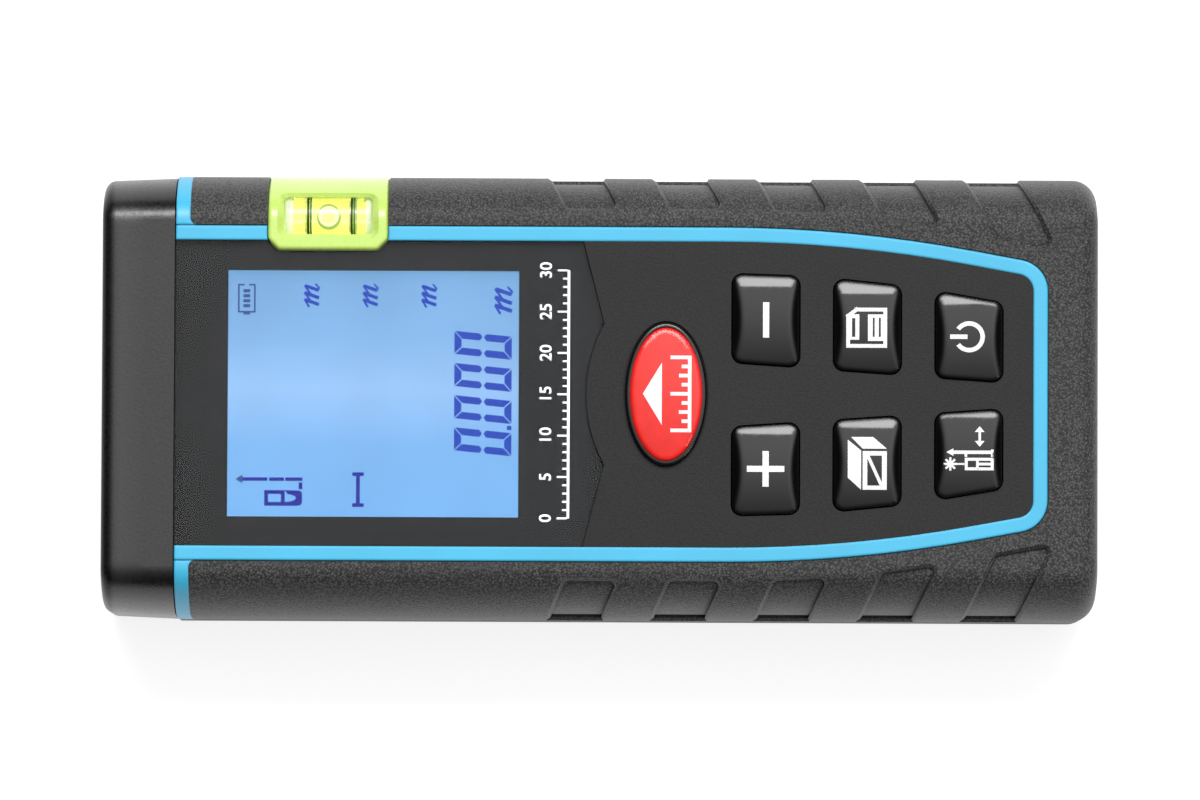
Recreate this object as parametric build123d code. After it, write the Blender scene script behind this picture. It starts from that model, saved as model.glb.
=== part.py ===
from build123d import *
import os
from math import acos, cos, degrees, radians, sin, sqrt, tan

# Pocket laser distance meter, lying on its back.
# X runs across the face, +Y is the way the laser points, +Z comes out of the display.
# The origin is the centre of the footprint, on the plane that the back rests on. Millimetres.

# ---- Outer form ------------------------------------------------------------
body_length = 112.0          # from the grip end to the optical end
body_width = 50.0
body_height = 25.0           # from the back to the face
cap_length = 8.3             # optical end cap
shoulder_width = 5.5         # the sides roll into the face over this much width
shoulder_drop = 11.0         # and over this much height
base_round = 3.5             # rounding between the sides and the back
end_round = 2.6              # rounding of the grip end
seam_gap = 0.15              # shadow gap between the cap and the body
split_height = 9.0           # parting plane between the rear and the front shell

# ---- Walls and fits --------------------------------------------------------
jacket_wall = 1.2            # soft overmould
shell_wall = 1.8             # hard shells, sides and back
face_wall = 2.0              # hard shell behind the face
fit_gap = 0.1                # all round between pieces that drop into each other
seat_gap = 0.05              # between stacked pieces
lip_wall = 0.8               # alignment lip between the shells
lip_height = 1.0
rim_depth = 1.4              # shelf that carries the lip

# ---- Stripe and panel ------------------------------------------------------
grip_width = 6.15            # side band outside the stripe
stripe_width = 1.65
taper_start = 42.0           # from the grip end, where the stripe starts to swing in
taper_radius = 155.0
taper_angle = 10.4           # swing of the stripe at the keypad's end
end_band = 5.7               # grip band behind the stripe's cross leg
stripe_round = 3.6           # outer corner of the stripe
leg_width = 1.6              # stripe legs that run down the sides beside the cap
leg_round = 0.8              # corner between a leg and the stripe
seam_width = 0.16            # fine groove on both edges of the stripe
seam_depth = 0.2
parting_width = 0.2          # groove between the rear shell and the overmould
parting_depth = 0.3

# ---- Grip recesses ---------------------------------------------------------
recess_count = 5
recess_first = 14.8          # from the grip end to the first recess
recess_pitch = 11.72
recess_width = 5.8
recess_depth = 0.7
recess_slant = 25.0          # degrees from square across
recess_margin = 2.1          # rib left beside the stripe
recess_corner = 0.6
recess_bevel = 0.35          # sloping rim round each recess
recess_foot = 10.8           # lowest point of the recesses

# ---- Display ---------------------------------------------------------------
view_side = 3.33             # border beside the visible part
view_front = 5.85            # border between the cap and the visible part
view_rear = 7.15             # border between the window's rear corners and the visible part
window_thickness = 0.9
window_key_gap = 4.44        # panel between the window and the measuring key
bracket_step = 2.4           # the rear edge steps back by this much towards the middle
bracket_half = 7.9
bracket_bulge = 2.05         # and bows forward again round the measuring key
mask_thickness = 0.1
print_gap = 0.05             # room for the print between mask and window
lcd_thickness = 1.5
lcd_border = 0.55            # glass beyond the visible part
lcd_ledge = 1.4              # glass beyond the visible part at the contact end
backlight_thickness = 1.9
bezel_wall = 0.8
strip_length = 1.4           # elastomer contact strip under the ledge

# ---- Keys ------------------------------------------------------------------
key_rows = 3
key_first_row = 14.6         # from the grip end to the middle of the last row
key_pitch = 11.4
key_length = 7.5
key_edge_margin = 3.65       # between a key and the stripe
key_inner = 1.8              # from the centre line to the last row
key_inner_slope = 4.0        # the inner edges fan out towards the display
key_corner = 1.15
key_rise = 0.9               # above the face
key_crown = 21.5             # radius of the crowned top, across the body
key_slope_width = 1.0        # sloping front and rear sides
key_slope_height = 0.72
key_crest_round = 0.15
key_gap = 0.15               # round a key in its hole
key_travel = 0.4
flange_width = 0.6
flange_thickness = 0.8
plunger_radius = 1.2
dome_radius = 2.4
dome_height = 0.3
dome_clearance = 0.1         # left under a fully pressed key
measure_key_from_end = 48.6  # middle of the measuring key from the grip end
measure_half_width = 7.57    # coloured oval, across and along
measure_half_length = 4.09
skirt_width = 0.52           # dark skirt round the coloured oval
skirt_rise = 0.75
skirt_round = 0.4
button_rise = 1.35
button_crown = 40.0          # radius of the crowned top
button_round = 0.45
button_sink = 1.6            # depth of the coloured cap in its skirt
mat_thickness = 0.7
mat_rib = 0.8
mat_margin = 0.6             # mat beyond the panel of keys
plunger_hole_gap = 0.4

# ---- Circuit board ---------------------------------------------------------
board_drop = 3.8             # from the ceiling behind the face to the board
board_thickness = 1.2
board_side = 6.8             # from the outer side to the board's edge
board_rear = 4.5
board_front = 2.9            # from the cap seam
post_radius = 2.0
rear_post_side = 3.2         # from the board's side to the rear posts
rear_post_from_end = 6.5
middle_post_side = 2.2
middle_post_from_end = 59.0
board_screw_radius = 0.78
board_screw_head = 1.5
board_screw_head_height = 0.9
board_screw_length = 2.6
chip_thickness = 1.2
controller_width = 10.0
controller_from_rear = 15.5  # from the board's rear end to the controller
memory_width = 4.5
memory_length = 6.0
memory_gap = 1.5             # between the controller and the memory
converter_width = 4.0
converter_length = 5.0
converter_side = 4.2         # from the board's side to the converter
converter_from_view = 3.15   # from the visible part back to the converter's rear
buzzer_radius = 4.5
buzzer_height = 2.8
buzzer_hole = 0.8
buzzer_side = 6.7            # from the board's side to the buzzer's middle
buzzer_from_view = 2.0

# ---- Battery compartment ---------------------------------------------------
cell_radius = 5.25
cell_length = 44.5
cell_nub_radius = 1.9
cell_nub_height = 0.8
cell_pitch = 11.2
cell_axis_z = 7.9
bay_side_gap = 0.35
bay_wall = 1.4
bay_ceiling_gap = 0.25
bay_ceiling = 1.2
bay_from_end = 4.5           # inside of the compartment's rear end
contact_thickness = 0.3
contact_gap = 0.1            # contact plate to compartment end
dimple_height = 0.5
dimple_radius = 1.6
spring_height = 3.3
spring_turns = 3
spring_wire = 0.3
spring_seat = 0.1            # the first turn is set this deep in its plate
spring_base_radius = 3.6
spring_cone = -22.0
contact_low_z = 3.3
contact_high_z = 12.6
tail_width = 2.0

# ---- Battery door ----------------------------------------------------------
door_thickness = 1.2
door_recess = 0.25           # the door lies this far above the resting plane
door_ledge = 2.4             # the door laps over the compartment's sides
door_gap = 0.2
door_tab_reach = 1.6
door_tab_root = 1.5          # and this far onto the door
door_tab_width = 4.0
door_tab_x = 8.5
door_tab_thickness = 0.8
door_lip = 1.05              # shell left under the tabs
door_lip_round = 0.5         # the tabs rock on this rounded edge
door_bevel = 0.8
door_front_lap = 2.0
pad_thickness = 2.7          # shell round the door
pad_width = 1.4
door_corner = 1.5
cradle_thickness = 1.2
cradle_gap = 0.15
cradle_side = 1.0            # from the compartment's side to the cradle
cradle_rise = 1.0            # over the lowest line of the cells
ridge_count = 4
ridge_pitch = 1.3
ridge_width = 0.6
ridge_depth = 0.3
ridge_half = 6.0
thumb_radius = 9.0
thumb_depth = 1.1
thumb_half_length = 2.6

# ---- Housing screws --------------------------------------------------------
boss_door_gap = 2.8          # from the shell round the door to the rear screws
boss_side = 7.0              # from the side to the front screws
boss_rear_from_end = 9.2
boss_front_from_seam = 4.9
boss_radius = 2.5
screw_radius = 0.98
screw_hole_gap = 0.25
screw_head_radius = 1.9
screw_head_height = 1.5
screw_head_depth = 3.2       # from the back to the head's seat
screw_length = 10.5
pilot_gap = 0.02
counterbore_gap = 0.25
drive_radius = 0.9
drive_depth = 0.7

# ---- Optics ----------------------------------------------------------------
receiver_x = -3.5
emitter_x = 10.5
barrel_gap = 0.6             # from the receiver barrel to the board above it
lens_edge = 1.4
lens_crown = 1.3
barrel_wall = 1.0
lens_seat_depth = 2.6
carrier_front = 1.1          # from the cap seam to the front of the barrels
carrier_length = 25.1
throat_radius = 2.6          # small end of the receiver's cone
drum_share = 1.2             # straight part of the receiver's housing, in housing radii
retainer_width = 0.8
laser_barrel_radius = 3.5
laser_barrel_bore = 2.4
laser_barrel_length = 15.0
collimator_thickness = 1.6
collimator_inset = 1.2       # from the barrel's mouth to the lens
diode_flange = 2.9           # radius
diode_flange_thickness = 1.2
diode_can_length = 2.3
lead_radius = 0.22
lead_length = 3.0
lead_spread = 1.0
base_low_z = 3.0
base_thickness = 1.3
base_half_width = 14.0
carrier_screw_x = 11.5
carrier_screw_rear = 3.2
carrier_screw_front = 16.5
carrier_screw_radius = 0.9
carrier_post_radius = 2.1
detector_board_thickness = 1.2
detector_board_half = 7.0
detector_board_top_gap = 1.0  # from the detector board to the main board
detector_can_radius = 2.4
detector_can_length = 3.0
ribbon_width = 6.0
ribbon_thickness = 0.25
ribbon_drop = 1.4            # from the main board down to the flat cable
ribbon_rise = 3.1            # between its two ends
ribbon_reach = 3.0           # from the detector board to its rising part
ribbon_run = 4.0             # from there to its end in the main board's socket
ribbon_bend = 0.9
socket_wall = 0.9
socket_depth = 1.5
socket_length = 2.5

# ---- End cap ---------------------------------------------------------------
cap_step = 0.2               # cap narrower than the body at the seam
cap_taper = 0.35             # and this much more at its front
cap_top_step = 0.1
cap_wall = 1.8
cap_round = 1.2
tongue_wall = 1.1
tongue_reach = 1.7
receiver_lip = 0.4           # the cap's opening is this much smaller than the lens
emitter_aperture = 2.3
aperture_bevel = 0.5
cover_glass_thickness = 1.0
cover_glass_lap = 0.6
collar_wall = 0.7
visor_width = 33.0
visor_margin = 1.7           # from the back to the recess round the apertures
visor_depth = 0.6
visor_round = 4.0

# ---- Spirit level ----------------------------------------------------------
level_from_seam = 17.05      # middle of the level behind the cap seam
level_length = 13.45
level_intrusion = 1.03       # the level reaches past the stripe into the window
level_corner = 1.2           # its two inner corners are cut off by this much
level_corner_round = 0.8
level_edge_round = 0.4
level_depth = 12.5           # from the face to the level's foot
level_shelf = 1.2
level_bevel = 0.7            # sloping rim round the vial's window
level_window_round = 0.6
vial_x_from_side = 4.95
vial_drop = 3.65             # from the face to the vial's axis
vial_radius = 2.1
vial_wall = 0.45
vial_length = 9.9
vial_end_wall = 0.7
vial_end_round = 0.5
vial_window_gap = 0.05
ring_spacing = 4.9
ring_width = 0.35
ring_thickness = 0.06
bubble_half_length = 1.35
bubble_radius = 1.42

# ---- Derived places --------------------------------------------------------
half_width = body_width / 2
back_y = -body_length / 2
front_y = body_length / 2
seam_y = front_y - cap_length
face_z = body_height
shoulder_x = half_width - shoulder_width
shoulder_z = body_height - shoulder_drop
ceiling_z = face_z - face_wall
stripe_x = half_width - grip_width
panel_x = stripe_x - stripe_width
taper_y = back_y + taper_start
leg_y = back_y + end_band
inner_side = jacket_wall + shell_wall
lens_floor_z = face_z - seat_gap - window_thickness - print_gap - mask_thickness
measure_y = back_y + measure_key_from_end
measure_front_y = measure_y + measure_half_length + skirt_width
window_back_y = measure_front_y + window_key_gap + bracket_step - bracket_bulge
view_half = panel_x - view_side
view_front_y = seam_y - view_front
view_back_y = window_back_y + view_rear
board_top_z = ceiling_z - board_drop
board_low_z = board_top_z - board_thickness
board_half = half_width - board_side - inner_side
board_back_y = back_y + board_rear
board_front_y = seam_y - board_front
lcd_top_z = ceiling_z - seat_gap
lcd_low_z = lcd_top_z - lcd_thickness
flange_top_z = ceiling_z - seat_gap
flange_low_z = flange_top_z - flange_thickness
plunger_low_z = board_top_z + dome_height + dome_clearance + key_travel
bay_half = (cell_pitch + 2 * cell_radius) / 2 + bay_side_gap
bay_back_y = back_y + bay_from_end
bay_length = cell_length + spring_height + dimple_height + 2 * (contact_thickness + contact_gap)
bay_front_y = bay_back_y + bay_length
bay_top_z = cell_axis_z + cell_radius + bay_ceiling_gap
door_edge_y = bay_back_y + door_tab_reach + door_gap
door_back_y = door_edge_y + door_gap
door_pivot_y = door_edge_y - door_lip_round
door_pivot_z = door_lip - door_lip_round
door_front_y = bay_front_y + door_front_lap
door_half = bay_half + door_ledge
rear_boss_x = door_half + door_gap + pad_width + boss_door_gap
front_boss_x = half_width - boss_side
barrel_radius = (board_low_z - barrel_gap - base_low_z) / 2
receiver_lens_radius = barrel_radius - barrel_wall
receiver_aperture = receiver_lens_radius - receiver_lip
optic_z = base_low_z + barrel_radius
level_y = seam_y - level_from_seam
level_foot_z = face_z - level_depth
level_inner_x = panel_x - level_intrusion
vial_x = half_width - vial_x_from_side
vial_z = face_z - vial_drop
carrier_front_y = seam_y - carrier_front
carrier_back_y = carrier_front_y - carrier_length
far = body_length            # longer than anything it cuts
beyond_face = face_z + 5


# ---- Helpers ---------------------------------------------------------------
def block(x0, x1, y0, y1, z0, z1):
    return Pos((x0 + x1) / 2, (y0 + y1) / 2, (z0 + z1) / 2) * Box(x1 - x0, y1 - y0, z1 - z0)


def upright(face, z0, z1):
    """Extrude a plan outline between two heights."""
    return extrude(Pos(0, 0, z0) * face, z1 - z0, dir=(0, 0, 1))


def lengthwise(face, y0, y1):
    """Extrude a cross-section, drawn as X and Z, between two places along the body."""
    return extrude(Plane.XZ.offset(-y0) * face, y1 - y0, dir=(0, 1, 0))


def rod_y(x, z, radius, y0, y1):
    return Pos(x, (y0 + y1) / 2, z) * Rot(90, 0, 0) * Cylinder(radius, y1 - y0)


def rod_z(x, y, radius, z0, z1):
    return Pos(x, y, (z0 + z1) / 2) * Cylinder(radius, z1 - z0)


def rod_x(y, z, radius, x0, x1):
    return Pos((x0 + x1) / 2, y, z) * Rot(0, 90, 0) * Cylinder(radius, x1 - x0)


def cone_y(x, z, radius0, radius1, y0, y1):
    """A cone frustum along Y, radius0 at y0 and radius1 at y1."""
    return Pos(x, (y0 + y1) / 2, z) * Rot(-90, 0, 0) * Cone(radius0, radius1, y1 - y0)


def both_sides(piece):
    return piece + mirror(piece, about=Plane.YZ)


def section(side, top, bottom, low_round=base_round):
    """The body's cross-section, moved in from its side, face and back."""
    half = half_width - side
    high = face_z - top
    rounding = max(low_round - bottom, lip_wall)
    right = [
        Line((0, bottom), (half - rounding, bottom)),
        CenterArc((half - rounding, bottom + rounding), rounding, -90, 90),
        Line((half, bottom + rounding), (half, shoulder_z)),
        EllipticalCenterArc((shoulder_x, shoulder_z), half - shoulder_x, high - shoulder_z, 0, arc_size=90),
        Line((shoulder_x, high), (0, high)),
    ]
    left = [mirror(edge, about=Plane.YZ) for edge in right]
    return make_face(right + left)


def body_form(inset):
    """The outer form of the body behind the cap, moved in by one thickness, its end rounded."""
    form = lengthwise(section(inset, inset, 0), back_y + inset, seam_y)
    end = form.faces().sort_by(Axis.Y)[0]
    return fillet(end.edges(), end_round - inset)


def taper_drop(y):
    """How far the stripe has swung in at a place along the body."""
    angle = radians(taper_angle)
    run = max(taper_y - y, 0)
    arc_run = taper_radius * sin(angle)
    if run <= arc_run:
        return taper_radius - sqrt(taper_radius**2 - run**2)
    return taper_radius * (1 - cos(angle)) + (run - arc_run) * tan(angle)


def taper_outline(rear):
    """Plan outline inside the stripe's outer edge, open past the cap and square at its rear."""
    arc_end_y = taper_y - taper_radius * sin(radians(taper_angle))
    arc_end = (stripe_x - taper_drop(arc_end_y), arc_end_y)
    corner = (stripe_x - taper_drop(rear), rear)
    right = [
        Line((0, far), (stripe_x, far)),
        Line((stripe_x, far), (stripe_x, taper_y)),
        CenterArc((stripe_x - taper_radius, taper_y), taper_radius, 0, -taper_angle),
        Line(arc_end, corner),
        Line(corner, (0, rear)),
    ]
    left = [mirror(edge, about=Plane.YZ) for edge in right]
    return make_face(right + left)


def stripe_outline():
    """Plan outline of the stripe's outer edge, with its two rear corners rounded."""
    outline = taper_outline(leg_y)
    corners = outline.vertices().group_by(Axis.Y)[0].filter_by(lambda v: abs(v.X) > 1)
    return fillet(corners, stripe_round)


def level_outline(gap):
    """Plan of the level's pocket, with its two inner corners cut off."""
    inner = level_inner_x - gap
    rear = level_y - level_length / 2 - gap
    front = level_y + level_length / 2 + gap
    outer = half_width + 2
    points = [
        (outer, rear), (outer, front),
        (inner + level_corner, front), (inner, front - level_corner),
        (inner, rear + level_corner), (inner + level_corner, rear),
    ]
    outline = make_face(Polyline(*points, close=True))
    return fillet(outline.vertices().filter_by(lambda v: v.X < half_width), level_corner_round)


def window_outline(gap):
    """Plan of the display window: straight sides and a bracket-shaped rear edge."""
    half = panel_x - seat_gap + gap
    front = seam_y - seat_gap + gap
    rear = window_back_y - gap
    step = rear - bracket_step
    edges = [
        Line((half, front), (-half, front)),
        Line((-half, front), (-half, rear)),
        Line((-half, rear), (-bracket_half, step)),
        ThreePointArc((-bracket_half, step), (0, step + bracket_bulge), (bracket_half, step)),
        Line((bracket_half, step), (half, rear)),
        Line((half, rear), (half, front)),
    ]
    return make_face(edges)


def key_outline(row, gap):
    """Plan of the right key of a row, its outer edge following the stripe."""
    middle = back_y + key_first_row + row * key_pitch
    rear = middle - key_length / 2
    front = middle + key_length / 2
    corners = [
        (key_inner_x(rear), rear), (key_outer_x(rear), rear),
        (key_outer_x(front), front), (key_inner_x(front), front),
    ]
    outline = make_face(Polyline(*corners, close=True))
    outline = fillet(outline.vertices(), key_corner)
    return offset(outline, gap) if gap else outline


def key_inner_x(y):
    return key_inner + (y - back_y - key_first_row) * tan(radians(key_inner_slope))


def key_outer_x(y):
    return panel_x - taper_drop(y) - key_edge_margin


def key_middle(row):
    y = back_y + key_first_row + row * key_pitch
    return (key_inner_x(y) + key_outer_x(y)) / 2, y


def oval(gap):
    """Plan of the measuring key's skirt."""
    wide = measure_half_width + skirt_width + gap
    long = measure_half_length + skirt_width + gap
    return Pos(0, measure_y) * Ellipse(wide, long)


def boss_places():
    rear = back_y + boss_rear_from_end
    front = seam_y - boss_front_from_seam
    return [(-rear_boss_x, rear), (rear_boss_x, rear), (-front_boss_x, front), (front_boss_x, front)]


def post_places():
    rear = back_y + rear_post_from_end
    middle = back_y + middle_post_from_end
    rear_x = board_half - rear_post_side
    middle_x = board_half - middle_post_side
    return [(-rear_x, rear), (rear_x, rear), (-middle_x, middle), (middle_x, middle)]


def plunger_places():
    places = [(0, measure_y)]
    for row in range(key_rows):
        x, y = key_middle(row)
        places += [(x, y), (-x, y)]
    return places


def carrier_screw_places():
    rear = carrier_back_y + carrier_screw_rear
    front = carrier_back_y + carrier_screw_front
    return [(-carrier_screw_x, rear), (carrier_screw_x, rear), (-carrier_screw_x, front)]


# ---- Housing ---------------------------------------------------------------
envelope = body_form(0)
core = body_form(jacket_wall)
skin = envelope - core - block(-far, far, -far, far, -1, split_height)
stripe_outer = stripe_outline()
stripe_inner = offset(stripe_outer, -stripe_width)
level_pocket = upright(level_outline(fit_gap), level_foot_z - seat_gap, beyond_face)


def leg_plan():
    """Plan of the right leg beside the cap, its corner with the stripe rounded."""
    rear = seam_y - leg_width
    leg = Pos((panel_x + far) / 2, (rear + far) / 2) * Rectangle(far - panel_x, far - rear)
    corner = Pos(stripe_x, rear) * Rectangle(2 * leg_round, 2 * leg_round)
    corner -= Pos(stripe_x + leg_round, rear - leg_round) * Circle(leg_round)
    return leg + corner


leg_zone = both_sides(upright(leg_plan(), 0, beyond_face))


def seam_grooves(edge):
    """A fine groove along one edge of the stripe, cut into whatever meets there."""
    band = offset(edge, seam_width / 2) - offset(edge, -seam_width / 2)
    return upright(band, split_height, beyond_face) - body_form(seam_depth)


def stripe_trim():
    """Coloured strip: a U round the panel with two legs down the sides beside the cap."""
    ring = upright(stripe_outer, 0, beyond_face) - upright(stripe_inner, 0, beyond_face)
    strip = (skin & (ring + leg_zone)) - level_pocket
    return strip - seam_grooves(stripe_outer)


def recess_plan(number, keep):
    """Plan of one recess: two slanted sides, and an inner end that follows the stripe."""
    slant = tan(radians(recess_slant))
    front = back_y + recess_first + number * recess_pitch
    rear = front - recess_width
    outer = half_width + 1
    inner = half_width / 2
    sides = [(x, y - slant * (half_width - x)) for x, y in
             ((outer, rear), (outer, front), (inner, front), (inner, rear))]
    plan = make_face(Polyline(*sides, close=True)) - keep

    def inner_corner(vertex):
        start = vertex.Y + slant * (half_width - vertex.X)
        return vertex.X < half_width and min(abs(start - rear), abs(start - front)) < seat_gap

    return fillet(plan.vertices().filter_by(inner_corner), recess_corner)


def recess_cutter():
    """The slanted grip recesses, cut one depth into the curved sides."""
    keep = offset(taper_outline(back_y - body_height), recess_margin)
    plans = [recess_plan(number, keep) for number in range(recess_count)]
    layer = envelope - body_form(recess_depth)
    return both_sides(layer & Compound([upright(plan, recess_foot, beyond_face) for plan in plans]))


def grip_jacket():
    """Soft overmould round both sides and the grip end, with bevelled slanted recesses."""
    jacket = skin - upright(stripe_outer, 0, beyond_face) - leg_zone - level_pocket
    cutter = recess_cutter()
    jacket -= cutter
    sides = envelope.faces()

    def on_rim(edge):
        spots = [edge @ 0.25, edge @ 0.5]
        if edge.center().Z < recess_foot - seat_gap or cutter.distance_to(spots[1]) > pilot_gap:
            return False
        return all(min(side.distance_to(spot) for side in sides) < pilot_gap for spot in spots)

    jacket = chamfer(jacket.edges().filter_by(on_rim), recess_bevel)
    return jacket - seam_grooves(stripe_outer)


def front_shell():
    """Hard front shell: the face panel, the ledge under the window, bosses and posts."""
    above = block(-far, far, -far, far, split_height, beyond_face)
    shell = (core & above) + (envelope & upright(stripe_inner, split_height, beyond_face))
    inner = lengthwise(section(inner_side, face_wall, 0), back_y + inner_side, far)
    shell -= inner
    for x, y in boss_places():
        shell += rod_z(x, y, boss_radius, split_height, ceiling_z)
    for x, y in post_places():
        shell += rod_z(x, y, post_radius, board_top_z, ceiling_z)
    shelf_low = level_foot_z - seat_gap - level_shelf
    shell += block(level_inner_x, half_width - inner_side, level_y - level_length / 2,
                   level_y + level_length / 2, shelf_low, level_foot_z - seat_gap)
    shell -= upright(window_outline(fit_gap), lens_floor_z, beyond_face)
    shell -= block(-view_half, view_half, view_back_y, view_front_y, 0, beyond_face)
    shell -= level_pocket
    for row in range(key_rows):
        shell -= both_sides(upright(key_outline(row, key_gap), ceiling_z - 1, beyond_face))
    shell -= upright(oval(key_gap), ceiling_z - 1, beyond_face)
    for x, y in boss_places():
        top = screw_head_depth + screw_length + seat_gap
        shell -= rod_z(x, y, screw_radius + pilot_gap, 0, top)
    for x, y in post_places():
        shell -= rod_z(x, y, board_screw_radius + pilot_gap, 0, board_low_z + board_screw_length + 1)
    return shell


def rear_shell():
    """Hard rear shell: back, lower sides, battery compartment, door seat and bosses."""
    below = block(-far, far, -far, far, -1, split_height)
    shell = envelope & below
    hollow = lengthwise(section(shell_wall, 0, shell_wall), back_y + shell_wall, far)
    rim_side = inner_side + fit_gap
    lip = lengthwise(section(rim_side, rim_side, 0), back_y + rim_side, seam_y - tongue_reach - seat_gap)
    lip_hole = lengthwise(
        section(rim_side + lip_wall, rim_side, 0), back_y + rim_side + lip_wall, far)
    rim_low = split_height - rim_depth
    ring = (envelope & block(-far, far, -far, far, rim_low, split_height))
    ring += lip & block(-far, far, -far, far, rim_low, split_height + lip_height)
    tongue_room = lengthwise(section(inner_side, face_wall, 0), seam_y - tongue_reach - seat_gap, far)
    shell = shell - hollow + (ring - lip_hole - tongue_room)
    shell += block(-door_half - pad_width, door_half + pad_width, back_y + shell_wall,
                   door_front_y + door_gap + pad_width, shell_wall / 2, pad_thickness)
    shell += block(-bay_half - bay_wall, bay_half + bay_wall, bay_back_y - bay_wall,
                   bay_front_y + bay_wall, shell_wall, bay_top_z + bay_ceiling)
    for x, y in boss_places():
        shell += rod_z(x, y, boss_radius + bay_wall / 4, shell_wall / 2, split_height)
    for x, y in carrier_screw_places():
        shell += rod_z(x, y, carrier_post_radius, shell_wall / 2, base_low_z)
    shell -= block(-bay_half, bay_half, bay_back_y, bay_front_y, pad_thickness, bay_top_z)
    shell -= block(-bay_half, bay_half, door_edge_y, bay_front_y, -1, pad_thickness + 1)
    door_seat = door_plan(door_gap)
    shell -= upright(door_seat, -1, door_recess + door_thickness + seat_gap)
    for side in (-1, 1):
        pocket = door_tab_width / 2 + door_gap
        x = side * door_tab_x
        shell -= block(x - pocket, x + pocket, bay_back_y, door_edge_y + 1, door_lip, pad_thickness + 1)
        lip_edge = block(x - pocket, x + pocket, door_pivot_y, door_edge_y, door_pivot_z, door_lip)
        shell -= lip_edge - rod_x(door_pivot_y, door_pivot_z, door_lip_round, x - pocket, x + pocket)
    for x in tail_places():
        slot = tail_width / 2 + fit_gap
        shell -= block(x - slot, x + slot, bay_front_y - contact_gap - contact_thickness - fit_gap,
                       bay_front_y, bay_top_z - 1, bay_top_z + bay_ceiling + 1)
    scoop_rear = door_front_y + door_gap
    shell -= rod_y(0, thumb_depth - thumb_radius, thumb_radius, scoop_rear, scoop_rear + 2 * thumb_half_length)
    for x, y in boss_places():
        shell -= rod_z(x, y, screw_radius + screw_hole_gap, 0, split_height + 1)
        shell -= rod_z(x, y, screw_head_radius + counterbore_gap, -1, screw_head_depth)
    for x, y in carrier_screw_places():
        shell -= rod_z(x, y, carrier_screw_radius + pilot_gap, shell_wall / 2, base_low_z + 1)
    groove = block(-far, far, -far, far, split_height - parting_width, split_height)
    return shell - (groove - body_form(parting_depth))


def end_cap():
    """Tapered cap on the optical end, with two apertures, collars for their glass and a tongue."""
    start = seam_y + seam_gap
    rim_y = start + cap_wall
    glass_seat = front_y - cap_wall
    mouth = front_y - visor_depth
    apertures = ((receiver_x, receiver_aperture), (emitter_x, emitter_aperture))
    rear = Plane.XZ.offset(-start) * section(cap_step, cap_top_step, 0)
    nose = Plane.XZ.offset(-front_y) * section(cap_step + cap_taper, cap_top_step, 0)
    cap = loft([rear, nose])
    cap = fillet(cap.faces().sort_by(Axis.Y)[-1].edges(), cap_round)
    hollow_side = cap_step + cap_taper + cap_wall
    hollow = lengthwise(section(hollow_side, cap_wall, cap_wall), rim_y, glass_seat)
    for x, radius in apertures:
        collar = radius + cover_glass_lap + fit_gap + collar_wall
        hollow -= rod_y(x, optic_z, collar, seam_y, front_y)
    cap -= hollow
    side = inner_side + fit_gap
    top = face_wall + fit_gap
    low = shell_wall + fit_gap
    cap += lengthwise(section(side, top, low), seam_y - tongue_reach, start + cap_wall / 2)
    opening = section(side + tongue_wall, top + tongue_wall, low + tongue_wall)
    cap -= lengthwise(opening, seam_y - 2 * tongue_reach, rim_y)
    cap -= lengthwise(visor_plan(), mouth, front_y + 1)
    for x, radius in apertures:
        cap -= rod_y(x, optic_z, radius + cover_glass_lap + fit_gap, seam_y, glass_seat)
        cap -= rod_y(x, optic_z, radius, glass_seat - 1, front_y + 1)
        cap -= cone_y(x, optic_z, radius, radius + aperture_bevel, mouth - aperture_bevel, mouth)
    return cap


def visor_plan():
    middle = (receiver_x + emitter_x) / 2
    height = 2 * (optic_z - visor_margin)
    return Pos(middle, optic_z) * RectangleRounded(visor_width, height, visor_round)


def display_window():
    """Clear window with a bracket-shaped rear edge and a notch for the level."""
    low = lens_floor_z + mask_thickness + print_gap
    window = upright(window_outline(0), low, low + window_thickness)
    return window - upright(level_outline(2 * fit_gap), 0, beyond_face)


def window_mask():
    """Dark printed border behind the window."""
    mask = upright(window_outline(0), lens_floor_z, lens_floor_z + mask_thickness)
    mask -= block(-view_half, view_half, view_back_y, view_front_y, 0, beyond_face)
    return mask - upright(level_outline(2 * fit_gap), 0, beyond_face)


# ---- Display stack ---------------------------------------------------------
def lcd_panel():
    """Glass sandwich with the contact ledge at the key end."""
    half = view_half + lcd_border
    upper = block(-half, half, view_back_y - lcd_border, view_front_y + lcd_border,
                  (lcd_low_z + lcd_top_z) / 2, lcd_top_z)
    lower = block(-half, half, view_back_y - lcd_ledge, view_front_y + lcd_border,
                  lcd_low_z, (lcd_low_z + lcd_top_z) / 2)
    return upper + lower


def lcd_backlight():
    half = view_half + lcd_border
    top = lcd_low_z - seat_gap
    return block(-half, half, view_back_y + strip_length, view_front_y + lcd_border,
                 top - backlight_thickness, top)


def lcd_bezel():
    """Frame that clips the glass and backlight to the board."""
    gap = fit_gap / 2
    half = view_half + lcd_border + gap
    rear = view_back_y - lcd_ledge - gap
    front = view_front_y + lcd_border + gap
    low = board_top_z
    frame = block(-half - bezel_wall, half + bezel_wall, rear - bezel_wall, front + bezel_wall,
                  low, lcd_top_z)
    return frame - block(-half, half, rear, front, low - 1, lcd_top_z + 1)


def contact_strip():
    rear = view_back_y - lcd_ledge
    return block(-view_half + 1, view_half - 1, rear, rear + strip_length, board_top_z, lcd_low_z - seat_gap)


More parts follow.
